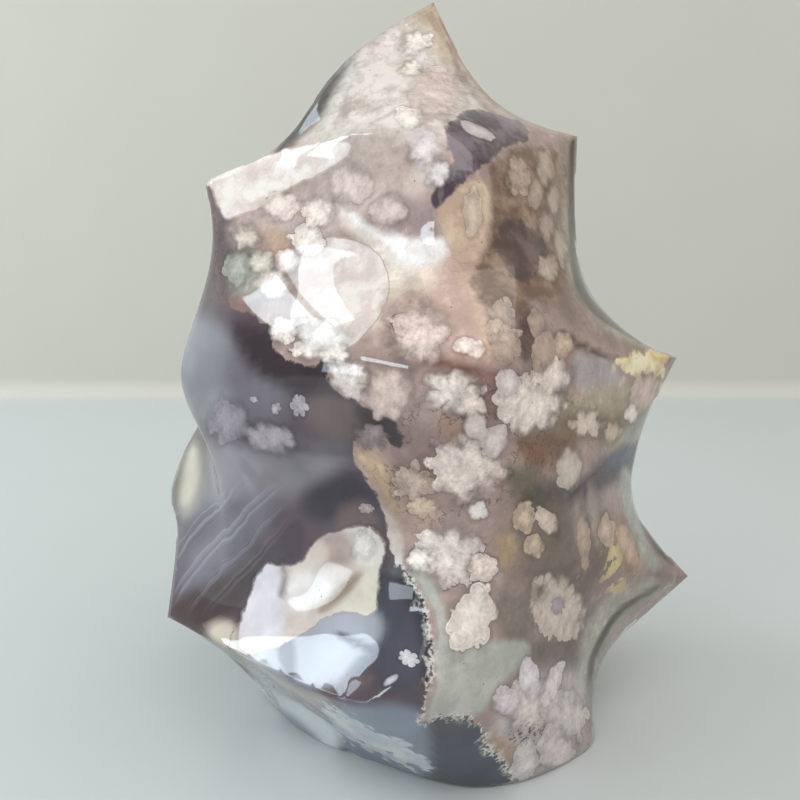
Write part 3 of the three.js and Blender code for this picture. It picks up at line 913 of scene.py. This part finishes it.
# %% Blossoms of the peak, the shoulder and the dark stone
FRONT_BLOSSOMS += [
    (349, 184, 22, 18, 20, 6, 0.08, 0.4, (226, 208, 202)),
    (388, 211, 19, 14, -20, 5, 0.05, 0.3, (222, 204, 200)),
    (407, 118, 13, 9, 50, 5, 0.1, 0.3, CREAM),
    (424, 148, 18, 20, 0, 7, 0.38, 0.6, (224, 216, 216)),
    (438, 172, 12, 15, 20, 6, 0.3, 0.5, (224, 216, 216)),
    (477, 130, 19, 6, 24, 4, 0.05, 0.1, (206, 196, 196)),
    (414, 44, 18, 12, -30, 7, 0.4, 0.7, CREAM),
    (411, 68, 11, 8, -10, 6, 0.3, 0.7, CREAM),
    (438, 92, 28, 25, 10, 7, 0.16, 0.4, (222, 202, 194)),
    (238, 268, 13, 18, 10, 5, 0.15, 0.5, (178, 178, 168)),
    (273, 284, 18, 16, 0, 6, 0.15, 0.5, CREAM),
    (262, 262, 14, 12, 0, 6, 0.2, 0.6, (216, 210, 196)),
    (247, 238, 14, 12, 0, 6, 0.25, 0.7, (216, 204, 194)),
    (287, 262, 13, 13, 0, 5, 0.1, 0.4, ROSE),
    (308, 240, 18, 16, 0, 6, 0.2, 0.6, CREAM),
    (282, 206, 18, 14, 10, 6, 0.1, 0.4, ROSE),
    (318, 212, 16, 14, 0, 6, 0.15, 0.5, ROSE),
    (284, 330, 16, 14, 0, 6, 0.3, 0.8, CREAM),
    (310, 348, 20, 13, 0, 7, 0.3, 0.9, CREAM),
    (334, 354, 16, 10, 0, 6, 0.3, 0.9, CREAM),
    (322, 334, 26, 15, 8, 6, 0.1, 0.3, (255, 250, 246)),
    (230, 422, 22, 20, 30, 5, 0.1, 0.2, (152, 146, 156)),
    (270, 438, 28, 14, 16, 6, 0.16, 0.4, (172, 164, 172)),
    (299, 406, 9, 11, 0, 6, 0.4, 1.0, ASH),
    (275, 409, 6, 6, 0, 6, 0.4, 1.0, ASH),
    (252, 399, 7, 4, 20, 6, 0.4, 1.0, ASH),
    (372, 436, 18, 14, 0, 7, 0.4, 0.9, (148, 134, 136)),
    (414, 482, 22, 18, 0, 8, 0.4, 1.0, (196, 174, 160)),
    (424, 508, 16, 10, 0, 7, 0.4, 1.0, TAN),
    (364, 544, 12, 17, 10, 5, 0.3, 0.6, (228, 220, 216)),
    (366, 508, 8, 5, 0, 6, 0.4, 1.0, (190, 170, 170)),
    (545, 168, 9, 20, 0, 4, 0.1, 0.3, BUFF),
    (553, 200, 8, 18, 0, 4, 0.1, 0.3, BUFF),
    (536, 194, 8, 16, 10, 4, 0.1, 0.3, DRAB),
    (547, 226, 8, 17, -4, 4, 0.1, 0.3, DRAB),
    (560, 246, 7, 22, -8, 4, 0.1, 0.3, BUFF),
    (548, 268, 11, 14, 0, 5, 0.2, 0.5, BUFF),
    (518, 176, 13, 20, 0, 6, 0.3, 1.0, DRAB),
    (473, 212, 9, 22, 4, 4, 0.02, 0.2, (224, 204, 186)),
    (584, 540, 6, 30, -4, 4, 0.05, 0.4, (190, 166, 148)),
    (606, 530, 8, 15, -8, 4, 0.1, 0.3, (202, 178, 160)),
    (628, 548, 9, 24, -14, 4, 0.1, 0.3, (198, 170, 150)),
    (612, 432, 9, 12, 20, 5, 0.2, 0.5, TAN),
    (408, 658, 10, 8, 20, 7, 0.5, 1.0, (198, 198, 202)),
    (391, 680, 9, 4, -40, 4, 0.05, 0.1, (196, 196, 200)),
    (478, 511, 10, 10, 20, 4, 0.25, 0.1, (236, 232, 226)),
]

# %% [markdown]
# A ray from the eye through each blossom's place in the photograph finds where it lies on
# the stone. Only points near that spot, on the side that faces the eye, belong to it.

# %% Find each blossom on the stone
look = BVHTree.FromPolygons(
    [Vector(point) for point in points], [list(face.vertices) for face in stone.data.polygons]
)
FAR_OUT = 9.0
blossoms = []
for x, y, half_wide, half_high, turn, petals, petal_depth, grain, tint in FRONT_BLOSSOMS:
    away = Vector(((x - PHOTO_WIDTH / 2) / PHOTO_WIDTH, 0, 0)) + ahead
    away += upward * (PHOTO_WIDTH / 2 - y) / PHOTO_WIDTH
    spot, slope, face, reach = look.ray_cast(eye, away.normalized())
    if spot is None:
        print("no stone at", x, y)
        continue
    c, s = math.cos(math.radians(turn)), math.sin(math.radians(turn))
    dx, dy = photo_x - x, photo_y - y
    u = (dx * c + dy * s) / half_wide
    v = (dy * c - dx * s) / half_high
    near = np.linalg.norm(points - np.array(spot), axis=1)
    size = max(half_wide, half_high) * reach / PHOTO_WIDTH
    valid = (near < 3 * size) & (facing_eye > -0.05)
    u, v = np.where(valid, u, FAR_OUT), np.where(valid, v, FAR_OUT)
    blossoms.append((spot, size, u, v, petals, petal_depth, grain, tint))
print(len(blossoms), "blossoms on the front")

# %% [markdown]
# Round the back the blossoms' places are unknown, so they are strewn with a fixed seed:
# a random point on a face turned away from the eye is kept if it isn't too close to
# another. Few of them lie in the dark stone, as on the front.

# %% Strew blossoms over the sides and the back
STREWN_TRIES = 520
STREWN_SEED = 5
TINTS = [CREAM, ROSE, ROSE, LILAC, PEACH, PEACH, TAN, ASH]

chance = np.random.default_rng(STREWN_SEED)
face_centres = np.array([face.center for face in stone.data.polygons])
face_normals = np.array([face.normal for face in stone.data.polygons])
face_areas = np.array([face.area for face in stone.data.polygons])
face_points = np.array([face.vertices[0] for face in stone.data.polygons])
hidden = face_areas * (facing_eye[face_points] < 0.16) * (face_centres[:, 2] > 2 * MM)
in_night = beyond(PATCHES["night"], lookup_x, lookup_y)[face_points] < 0
in_slate = beyond(PATCHES["slate"], lookup_x, lookup_y)[face_points] < 0
strewn = 0
for pick in chance.choice(len(hidden), STREWN_TRIES, p=hidden / hidden.sum()):
    size = chance.uniform(2.6, 5.8) * MM
    spot = Vector(face_centres[pick])
    dark = in_night[pick] or in_slate[pick]
    if any((spot - other[0]).length < 0.66 * (size + other[1]) for other in blossoms):
        continue
    if dark and chance.random() < 0.75:
        continue
    normal = Vector(face_normals[pick])
    near = np.linalg.norm(points - np.array(spot), axis=1) < 1.2 * size
    if (facing_eye[near] > 0.2).any():
        continue
    side = normal.cross(Vector((0, 0, 1))).normalized()
    side.rotate(Quaternion(normal, chance.uniform(0, math.tau)))
    top = normal.cross(side)
    offset = points - np.array(spot)
    u = offset @ np.array(side) / size
    v = offset @ np.array(top) / size / chance.uniform(0.7, 1.0)
    valid = (np.linalg.norm(offset, axis=1) < 3 * size) & (normals @ np.array(normal) > -0.1)
    tint = ASH if dark else TINTS[chance.integers(len(TINTS))]
    petals = int(chance.integers(4, 9))
    shape = (petals, chance.uniform(0.05, 0.4), chance.uniform(0.2, 1.0))
    u, v = np.where(valid, u, FAR_OUT), np.where(valid, v, FAR_OUT)
    blossoms.append((spot, size, u, v, *shape, tint))
    strewn += 1
print(strewn, "blossoms strewn over the sides and the back")

# %% [markdown]
# ## Layers of blossoms
#
# A blossom goes in the first of four layers where it touches no other. In each layer, a
# face belongs to the blossom that it is deepest in.

# %% Sort the blossoms into layers and store them
LAYERS = 4

layers = [[] for _ in range(LAYERS)]
for blossom in blossoms:
    free = [
        layer for layer in layers
        if all((blossom[0] - other[0]).length > 1.2 * (blossom[1] + other[1]) for other in layer)
    ]
    (free[0] if free else layers[-1]).append(blossom)

loop_points = np.empty(len(stone.data.loops), int)
stone.data.loops.foreach_get("vertex_index", loop_points)
loop_faces = np.repeat(
    np.arange(len(stone.data.polygons)), [len(face.vertices) for face in stone.data.polygons]
)
for number, layer in enumerate(layers):
    deepest = np.full(len(stone.data.polygons), FAR_OUT)
    place = np.tile((FAR_OUT, 0.0, 0.0), (len(loop_points), 1))
    make = np.zeros((len(loop_points), 3))
    tints = np.zeros((len(loop_points), 3))
    for spot, size, u, v, petals, petal_depth, grain, tint in layer:
        reach = np.hypot(u, v)[loop_points]
        reach = np.maximum.reduceat(reach, np.searchsorted(loop_faces, np.arange(len(deepest))))
        closer = reach < deepest
        deepest[closer] = reach[closer]
        chosen = closer[loop_faces]
        corner_points = loop_points[chosen]
        place[chosen] = np.stack([u[corner_points], v[corner_points], np.zeros(len(corner_points))], 1)
        make[chosen] = petals / 2, petal_depth, grain
        tints[chosen] = linear(tint)
    keep_vectors("bloom_" + str(number), "CORNER", place)
    keep_vectors("bloom_make_" + str(number), "CORNER", make)
    keep_colours("bloom_tint_" + str(number), "CORNER", tints)
print("blossoms in each layer:", [len(layer) for layer in layers])

# %% [markdown]
# ## Small tools for wiring nodes
#
# A material this rich has many nodes that do small sums. A few helpers keep the wiring
# readable: each adds one node, feeds it and hands back what comes out.

# %% Helpers that add one node each
def feed(tree, socket, value):
    """Links a socket to another one, or gives it a plain value."""
    if isinstance(value, bpy.types.NodeSocket):
        tree.links.new(value, socket)
    else:
        socket.default_value = value


def sum_of(tree, operation, *values):
    """One step of arithmetic."""
    made = tree.nodes.new("ShaderNodeMath")
    made.operation = operation
    for socket, value in zip(made.inputs, values):
        feed(tree, socket, value)
    return made.outputs[0]


def ease(tree, value, low, high):
    """Goes smoothly from 0 at low to 1 at high."""
    made = tree.nodes.new("ShaderNodeMapRange")
    made.interpolation_type = "SMOOTHSTEP"
    feed(tree, made.inputs["Value"], value)
    feed(tree, made.inputs["From Min"], low)
    feed(tree, made.inputs["From Max"], high)
    return made.outputs["Result"]


def lay(tree, share, under, top):
    """Lays one colour over another."""
    made = tree.nodes.new("ShaderNodeMix")
    made.data_type = "RGBA"
    for socket, value in zip((made.inputs[0], made.inputs[6], made.inputs[7]), (share, under, top)):
        feed(tree, socket, value)
    return made.outputs[2]


def dim(tree, colour, factor):
    """A colour made darker or lighter by a factor."""
    made = tree.nodes.new("ShaderNodeVectorMath")
    made.operation = "SCALE"
    feed(tree, made.inputs[0], colour)
    feed(tree, made.inputs["Scale"], factor)
    return made.outputs[0]


def add_up(tree, first, second, factor):
    """A vector with a share of another added."""
    made = tree.nodes.new("ShaderNodeVectorMath")
    made.operation = "MULTIPLY_ADD"
    feed(tree, made.inputs[0], second)
    made.inputs[1].default_value = (factor, factor, factor)
    feed(tree, made.inputs[2], first)
    return made.outputs[0]


def length_of(tree, vector):
    """How long a vector is."""
    made = tree.nodes.new("ShaderNodeVectorMath")
    made.operation = "LENGTH"
    feed(tree, made.inputs[0], vector)
    return made.outputs["Value"]


def parts_of(tree, vector):
    """The three numbers of a vector."""
    made = tree.nodes.new("ShaderNodeSeparateXYZ")
    feed(tree, made.inputs[0], vector)
    return made.outputs


def kept(tree, name):
    """The attribute that the stone keeps under a name."""
    made = tree.nodes.new("ShaderNodeAttribute")
    made.attribute_name = name
    return made.outputs


def full(colour):
    """A screen colour as a node socket takes it."""
    return (*linear(colour), 1)


# %% [markdown]
# ## One blossom
#
# A blossom is drawn in polar coordinates: its reach goes in and out round the centre, once
# for each petal, with smaller knobs along the way, and a point is inside where it is nearer
# than that. The heart is the whitest part, creases run in between the petals, and the edge
# is crisp with a thin dark line on one side and lost in the stone on the other. The layers
# use the same drawing, so it is a node group.

# %% The blossom's node group
BLOSSOM_SOCKETS = {
    "Place": "Vector", "Make": "Vector", "Tint": "Color", "Under": "Color", "Ruffle": "Vector",
    "Knobs": "Float", "Texture": "Float", "Blur": "Float", "Crispness": "Float",
}


def blossom_group():
    """Draws one blossom over the colour that is under it."""
    tree = bpy.data.node_groups.new("agate_blossom", "ShaderNodeTree")
    for name, kind in BLOSSOM_SOCKETS.items():
        tree.interface.new_socket(name, in_out="INPUT", socket_type="NodeSocket" + kind)
    tree.interface.new_socket("Colour", in_out="OUTPUT", socket_type="NodeSocketColor")
    given = tree.nodes.new("NodeGroupInput").outputs
    result = tree.nodes.new("NodeGroupOutput").inputs

    def calc(operation, *values):
        return sum_of(tree, operation, *values)

    place = add_up(tree, given["Place"], given["Ruffle"], 0.8)
    u, v, _ = parts_of(tree, place)
    radius = length_of(tree, place)
    half_petals, petal_depth, grain = parts_of(tree, given["Make"])
    wave = calc("ABSOLUTE", calc("COSINE", calc("MULTIPLY", calc("ARCTAN2", v, u), half_petals)))
    fullness = calc("SUBTRACT", calc("SQRT", wave), 1.0)
    reach = calc("MULTIPLY_ADD", petal_depth, fullness, given["Knobs"])
    inside = calc("SUBTRACT", reach, radius)

    cover = ease(tree, inside, -0.03, given["Blur"])
    heart = ease(tree, radius, 0.85, 0.1)
    crease = calc("MULTIPLY", ease(tree, wave, 0.4, 0.0), ease(tree, radius, 0.3, 0.8))
    rim = calc("MULTIPLY", ease(tree, inside, 0.16, 0.06), given["Crispness"])
    light = calc("MULTIPLY_ADD", given["Texture"], calc("MULTIPLY_ADD", grain, 0.7, 0.5), 0.84)
    light = calc("MULTIPLY_ADD", heart, 0.22, calc("MULTIPLY_ADD", rim, 0.1, light))
    light = calc("MULTIPLY", light, calc("MULTIPLY_ADD", crease, -0.1, 1.0))
    # Partly darker stone, partly painted shadow: the stone round a blossom is darkened for depth.
    darker_ring_and_painted_shadow = calc("MULTIPLY", ease(tree, inside, -0.4, 0.0), -0.2)

    body = dim(tree, given["Tint"], light)
    under = dim(tree, given["Under"], calc("ADD", darker_ring_and_painted_shadow, 1.0))
    drawn = lay(tree, cover, under, body)
    contour = ease(tree, calc("ABSOLUTE", calc("SUBTRACT", inside, 0.13)), 0.035, 0.0)
    contour = calc("MULTIPLY", contour, ease(tree, given["Texture"], -0.12, 0.06))
    contour = calc("MULTIPLY", calc("MULTIPLY", contour, given["Crispness"]), 0.45)
    drawn = lay(tree, contour, drawn, full((150, 126, 118)))
    edge = calc("MULTIPLY", ease(tree, calc("ABSOLUTE", inside), 0.05, 0.0), given["Crispness"])
    broken = ease(tree, given["Texture"], 0.08, -0.08)
    edge = calc("MULTIPLY", calc("MULTIPLY", edge, broken), calc("MULTIPLY_ADD", grain, 0.6, 0.3))
    feed(tree, result["Colour"], lay(tree, edge, drawn, full((104, 78, 70))))
    return tree


blossom_drawing = blossom_group()
print("the blossom takes", len(blossom_drawing.nodes), "nodes")

# %% [markdown]
# ## The agate
#
# Agate is glassy quartz, clear at a thin edge and cloudy in the thick. So the surface is
# one Principled shader with a low, steady transmission, quartz's index of refraction, a
# little light bleeding under the skin, and absorption in the body of the stone, which
# leaves the thin horns clear and the middle solid. All the picture is in its base colour.

# %% Noises that the stone's drawing shares
agate = bpy.data.materials.new("polished_agate")
agate.use_nodes = True
tree = agate.node_tree
surface = tree.nodes["Principled BSDF"]
position = tree.nodes.new("ShaderNodeTexCoord").outputs["Object"]


def clouds(size_mm, detail, roughness=0.5, stretch=None):
    """Soft noise with patches of about a size in millimetres."""
    made = tree.nodes.new("ShaderNodeTexNoise")
    made.inputs["Scale"].default_value = 1 / (size_mm * MM)
    made.inputs["Detail"].default_value = detail
    made.inputs["Roughness"].default_value = roughness
    feed(tree, made.inputs["Vector"], position if stretch is None else stretch)
    return made.outputs


def cells(size_mm, feature, spot):
    """Rounded cells of about a size in millimetres."""
    made = tree.nodes.new("ShaderNodeTexVoronoi")
    made.feature = feature
    made.inputs["Scale"].default_value = 1 / (size_mm * MM)
    feed(tree, made.inputs["Vector"], spot)
    return made.outputs


slow = clouds(11, 2)["Fac"]
cloud = clouds(5.5, 4, 0.66)["Fac"]
fine = clouds(0.6, 2, 0.6)["Fac"]
chalk = clouds(1.5, 4, 0.7)["Fac"]
ruffle_noise = clouds(2.8, 4, 0.6)["Color"]
ruffle = tree.nodes.new("ShaderNodeVectorMath")
ruffle.operation = "MULTIPLY_ADD"
feed(tree, ruffle.inputs[0], ruffle_noise)
ruffle.inputs[1].default_value = (1, 1, 0)
ruffle.inputs[2].default_value = (-0.5, -0.5, 0)
bent = add_up(tree, position, ruffle.outputs[0], 1.2 * MM)
lobes = cells(2.1, "F1", bent)["Distance"]

ruffle_side, _, _ = parts_of(tree, ruffle.outputs[0])
drift = sum_of(tree, "SUBTRACT", cloud, 0.5)
grit = sum_of(tree, "SUBTRACT", fine, 0.5)
lobe_height = sum_of(tree, "SUBTRACT", 0.45, lobes)
wobble = sum_of(tree, "MULTIPLY_ADD", drift, 5.0, sum_of(tree, "MULTIPLY", lobe_height, -2.0))
wobble = sum_of(tree, "MULTIPLY_ADD", grit, 1.2, wobble)
powder = sum_of(tree, "SUBTRACT", chalk, 0.5)
texture = sum_of(tree, "MULTIPLY_ADD", drift, 0.4, sum_of(tree, "MULTIPLY_ADD", grit, 0.6, powder))
texture = sum_of(tree, "MULTIPLY_ADD", lobe_height, 0.4, texture)
knobs = sum_of(tree, "MULTIPLY_ADD", lobe_height, 0.38, 1.1)
crispness = ease(tree, slow, 0.42, 0.58)
blur = sum_of(tree, "MULTIPLY_ADD", crispness, -0.42, 0.5)
print(len(tree.nodes), "nodes so far")

# %% [markdown]
# The pale patches are drawn over the soft colours in order, each from its distance. A
# little of the shared noise is added to the distance first, so that an edge is ragged
# where the real one is and smooth where that is, and a thin dark line follows it.

# %% Draw the pale patches over the soft colours
PATCH_LINE = (96, 76, 72)
patch_gaps = [
    gap for first in range(0, len(PATCHES), 3)
    for gap in parts_of(tree, kept(tree, "patches_" + str(first // 3))["Vector"])
]
cloudy = ease(tree, cloud, 0.38, 0.62)


def ragged_distance(patch, ragged):
    """Millimetres from a patch, with its edge broken up by lobes and grains."""
    return sum_of(tree, "MULTIPLY_ADD", wobble, ragged, patch_gaps[patch_names.index(patch)])


def draw_patch(under, patch, body, ragged, softness, strength=1.0, line=0.3):
    """Lays a patch over a colour, with a thin dark line along its edge."""
    gap = ragged_distance(patch, ragged)
    share = sum_of(tree, "MULTIPLY", ease(tree, gap, softness, -softness), strength)
    drawn = lay(tree, share, under, body)
    edge = ease(tree, sum_of(tree, "ABSOLUTE", gap), 0.16, 0.0)
    return lay(tree, sum_of(tree, "MULTIPLY", edge, line), drawn, full(PATCH_LINE))


def mottled(light, dark):
    """A colour that drifts between two, with the clouds."""
    return lay(tree, cloudy, full(dark), full(light))


curl_mask, plume_mask, gold_mask = parts_of(tree, kept(tree, "marks")["Vector"])
shade = sum_of(tree, "MULTIPLY_ADD", drift, 1.3, sum_of(tree, "MULTIPLY_ADD", grit, 0.25, 1.0))
pale_stone = kept(tree, "pale_stone")
picture = dim(tree, pale_stone["Color"], shade)
pale_share = sum_of(tree, "MULTIPLY", ease(tree, lobes, 0.5, 0.1), ease(tree, cloud, 0.46, 0.6))
pale_share = sum_of(tree, "MULTIPLY", pale_share, ease(tree, pale_stone["Fac"], 0.14, 0.4))
picture = lay(tree, sum_of(tree, "MULTIPLY", pale_share, 0.5), picture, full((236, 214, 202)))
brown_share = sum_of(tree, "MULTIPLY", ease(tree, slow, 0.54, 0.7), 0.35)
brown_share = sum_of(tree, "MULTIPLY", brown_share, sum_of(tree, "SUBTRACT", 1.0, plume_mask))
picture = lay(tree, brown_share, picture, full((116, 92, 82)))
picture = draw_patch(picture, "green", mottled((201, 203, 196), (180, 183, 176)), 0.3, 0.7, 0.9, 0.1)
picture = draw_patch(picture, "tan", mottled((160, 136, 117), (115, 91, 75)), 0.6, 0.9, 0.9, 0.1)
picture = draw_patch(picture, "peach", mottled((228, 206, 182), (202, 176, 156)), 0.5, 0.8, 0.9, 0.15)
picture = draw_patch(picture, "mauve", mottled((116, 98, 95), (90, 74, 72)), 0.6, 0.4, 0.95, 0.2)
picture = draw_patch(picture, "orchid", mottled((124, 112, 122), (74, 62, 72)), 0.35, 0.3, 0.96, 0.3)
# Partly pale stone, partly painted highlight: the band is drawn near white for the shoulder's glare.
picture = draw_patch(picture, "band", mottled((250, 245, 240), (228, 213, 206)), 0.2, 0.3, 0.95, 0.2)
picture = draw_patch(picture, "glare", mottled((238, 230, 225), (214, 200, 194)), 0.12, 0.3, 0.95, 0.4)
print(len(tree.nodes), "nodes with the pale patches")

# %% [markdown]
# The peak is full of plumes, white feathers that stand close together, and between the
# blossoms run thin brown curls. Both follow the same noises as the patches' edges, kept to
# their own places by soft masks.

# %% Plumes and curls
feather = sum_of(tree, "MULTIPLY_ADD", grit, 0.2, drift)
feather = sum_of(tree, "MULTIPLY_ADD", ruffle_side, 1.1, feather)
plumes = sum_of(tree, "MULTIPLY", ease(tree, feather, -0.16, 0.12), plume_mask)
picture = lay(tree, sum_of(tree, "MULTIPLY", plumes, 0.72), picture, full((236, 227, 224)))
plume_gaps = sum_of(tree, "MULTIPLY", ease(tree, feather, -0.12, -0.3), plume_mask)
picture = lay(tree, sum_of(tree, "MULTIPLY", plume_gaps, 0.3), picture, full((178, 162, 160)))
curl = ease(tree, sum_of(tree, "ABSOLUTE", sum_of(tree, "ADD", drift, ruffle_side)), 0.03, 0.0)
curl_share = sum_of(tree, "MULTIPLY_ADD", curl_mask, 0.5, 0.1)
picture = lay(tree, sum_of(tree, "MULTIPLY", curl, curl_share), picture, full((88, 64, 58)))

# %% [markdown]
# Agate grows in layers, and in the dark stone they show as fine pale bands. A noise with
# only one dimension gives them: it is read along the distance from a line, so each band
# keeps the same distance all its way. The lumps, the crusts of the foot and the gold lie
# over the dark stone. The white crust of the foot is painted whiter than it is, as painted
# light on the underside, which faces the floor.

# %% The dark body and its fine bands
line_of, band_mask, speck_mask = parts_of(tree, kept(tree, "banding")["Vector"])
band_noise = tree.nodes.new("ShaderNodeTexNoise")
band_noise.noise_dimensions = "1D"
band_noise.inputs["Scale"].default_value = 1.1
band_noise.inputs["Detail"].default_value = 3
feed(tree, band_noise.inputs["W"], sum_of(tree, "MULTIPLY_ADD", slow, 3.0, line_of))
pale_bands = sum_of(tree, "MULTIPLY", ease(tree, band_noise.outputs["Fac"], 0.5, 0.64), band_mask)
dark_shade = sum_of(tree, "MULTIPLY_ADD", slow, 0.9, 0.5)
dark_body = dim(tree, kept(tree, "dark_stone")["Color"], dark_shade)
dark_body = lay(tree, sum_of(tree, "MULTIPLY", pale_bands, 0.34), dark_body, full((176, 174, 186)))
picture = draw_patch(picture, "night", dark_body, 0.4, 0.18, 0.98, 0.4)
picture = draw_patch(picture, "slate", dark_body, 0.5, 0.15, 0.98, 0.5)
# Partly white crust, partly painted light: the foot's underside is painted near white.
picture = draw_patch(picture, "foot", mottled((252, 250, 248), (206, 214, 224)), 0.9, 0.4, 0.9, 0.1)
lump_body = dim(tree, pale_stone["Color"], sum_of(tree, "MULTIPLY_ADD", drift, 0.7, 1.0))
picture = draw_patch(picture, "lumps", lump_body, 0.3, 0.3, 0.95, 0.35)
picture = draw_patch(picture, "yellow", mottled((250, 240, 206), (222, 194, 138)), 0.7, 0.3, 0.95, 0.25)
gold = sum_of(tree, "MULTIPLY", gold_mask, ease(tree, feather, 0.0, 0.06))
picture = lay(tree, sum_of(tree, "MULTIPLY", gold, 0.85), picture, full((224, 206, 150)))
print(len(tree.nodes), "nodes with the dark patches")

# %% [markdown]
# The four layers of blossoms are laid over the picture by the same node group, each fed
# with the places, makes and tints that its layer keeps.

# %% Lay the blossoms over the stone
for number in range(LAYERS):
    drawing = tree.nodes.new("ShaderNodeGroup")
    drawing.node_tree = blossom_drawing
    drawing.name = "blossoms_" + str(number)
    feed(tree, drawing.inputs["Place"], kept(tree, "bloom_" + str(number))["Vector"])
    feed(tree, drawing.inputs["Make"], kept(tree, "bloom_make_" + str(number))["Vector"])
    feed(tree, drawing.inputs["Tint"], kept(tree, "bloom_tint_" + str(number))["Color"])
    feed(tree, drawing.inputs["Under"], picture)
    feed(tree, drawing.inputs["Ruffle"], ruffle.outputs[0])
    feed(tree, drawing.inputs["Knobs"], knobs)
    feed(tree, drawing.inputs["Texture"], texture)
    feed(tree, drawing.inputs["Blur"], blur)
    feed(tree, drawing.inputs["Crispness"], crispness)
    picture = drawing.outputs["Colour"]

# %% [markdown]
# Where the violet and the slate meet the pale stone there is a crust of white grains,
# rougher than the rest. Here and there the stone also has a dark pin-prick of a pit.

# %% Crust and pits
crust_gap = sum_of(tree, "ABSOLUTE", ragged_distance("slate", 0.5))
crust_width = sum_of(tree, "MULTIPLY_ADD", ease(tree, cloud, 0.4, 0.62), 1.3, 0.25)
crust_grain = ease(tree, fine, 0.4, 0.58)
outside_night = ease(tree, patch_gaps[patch_names.index("night")], 0.2, 0.8)
crust = sum_of(tree, "MULTIPLY", ease(tree, crust_gap, crust_width, 0.05), crust_grain)
crust = sum_of(tree, "MULTIPLY", crust, outside_night)
picture = lay(tree, sum_of(tree, "MULTIPLY", crust, 0.75), picture, full((222, 222, 216)))

pit_cells = cells(2.3, "F1", position)
pit_is_there = ease(tree, parts_of(tree, pit_cells["Color"])[0], 0.7, 0.75)
pit = sum_of(tree, "MULTIPLY", ease(tree, pit_cells["Distance"], 0.07, 0.04), pit_is_there)
picture = lay(tree, sum_of(tree, "MULTIPLY", pit, 0.75), picture, full((86, 66, 56)))
specks = sum_of(tree, "MULTIPLY", ease(tree, grit, 0.04, 0.12), speck_mask)
picture = lay(tree, sum_of(tree, "MULTIPLY", specks, 0.9), picture, full((82, 58, 46)))
feed(tree, surface.inputs["Base Color"], picture)

# %% [markdown]
# The polish is nearly a mirror, a touch duller in the crust and with the faintest ripple.
# Under it the stone is a little clear: light enters, spreads and is soaked up on its way,
# so a thin tip glows and the thick middle doesn't.

# %% The polish and the body of the stone
AGATE_IOR = 1.54
POLISH_ROUGHNESS = 0.045
CLEARNESS = 0.15
BLEED = 0.25
BLEED_DEPTH = 2.5 * MM
ABSORPTION_PER_METRE = 70

surface.inputs["IOR"].default_value = AGATE_IOR
surface.inputs["Transmission Weight"].default_value = CLEARNESS
surface.inputs["Subsurface Weight"].default_value = BLEED
surface.inputs["Subsurface Scale"].default_value = BLEED_DEPTH
surface.inputs["Subsurface Radius"].default_value = (1.0, 0.8, 0.7)
roughness = sum_of(tree, "MULTIPLY_ADD", slow, 0.02, POLISH_ROUGHNESS - 0.01)
roughness = sum_of(tree, "MULTIPLY_ADD", crust, 0.3, roughness)
feed(tree, surface.inputs["Roughness"], roughness)
height = clouds(0.7, 0)["Fac"]
bump = tree.nodes.new("ShaderNodeBump")
bump.inputs["Strength"].default_value = 0.08
bump.inputs["Distance"].default_value = 0.02 * MM
feed(tree, bump.inputs["Height"], height)
feed(tree, surface.inputs["Normal"], bump.outputs["Normal"])

body = tree.nodes.new("ShaderNodeVolumeAbsorption")
body.inputs["Color"].default_value = (0.72, 0.68, 0.66, 1)
body.inputs["Density"].default_value = ABSORPTION_PER_METRE
tree.links.new(body.outputs["Volume"], tree.nodes["Material Output"].inputs["Volume"])

stone.data.materials.clear()
stone.data.materials.append(agate)
print("the agate takes", len(tree.nodes), "nodes")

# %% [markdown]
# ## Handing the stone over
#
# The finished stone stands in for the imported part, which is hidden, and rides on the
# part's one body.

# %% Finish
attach(stone, "root")
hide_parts("agate_flame")
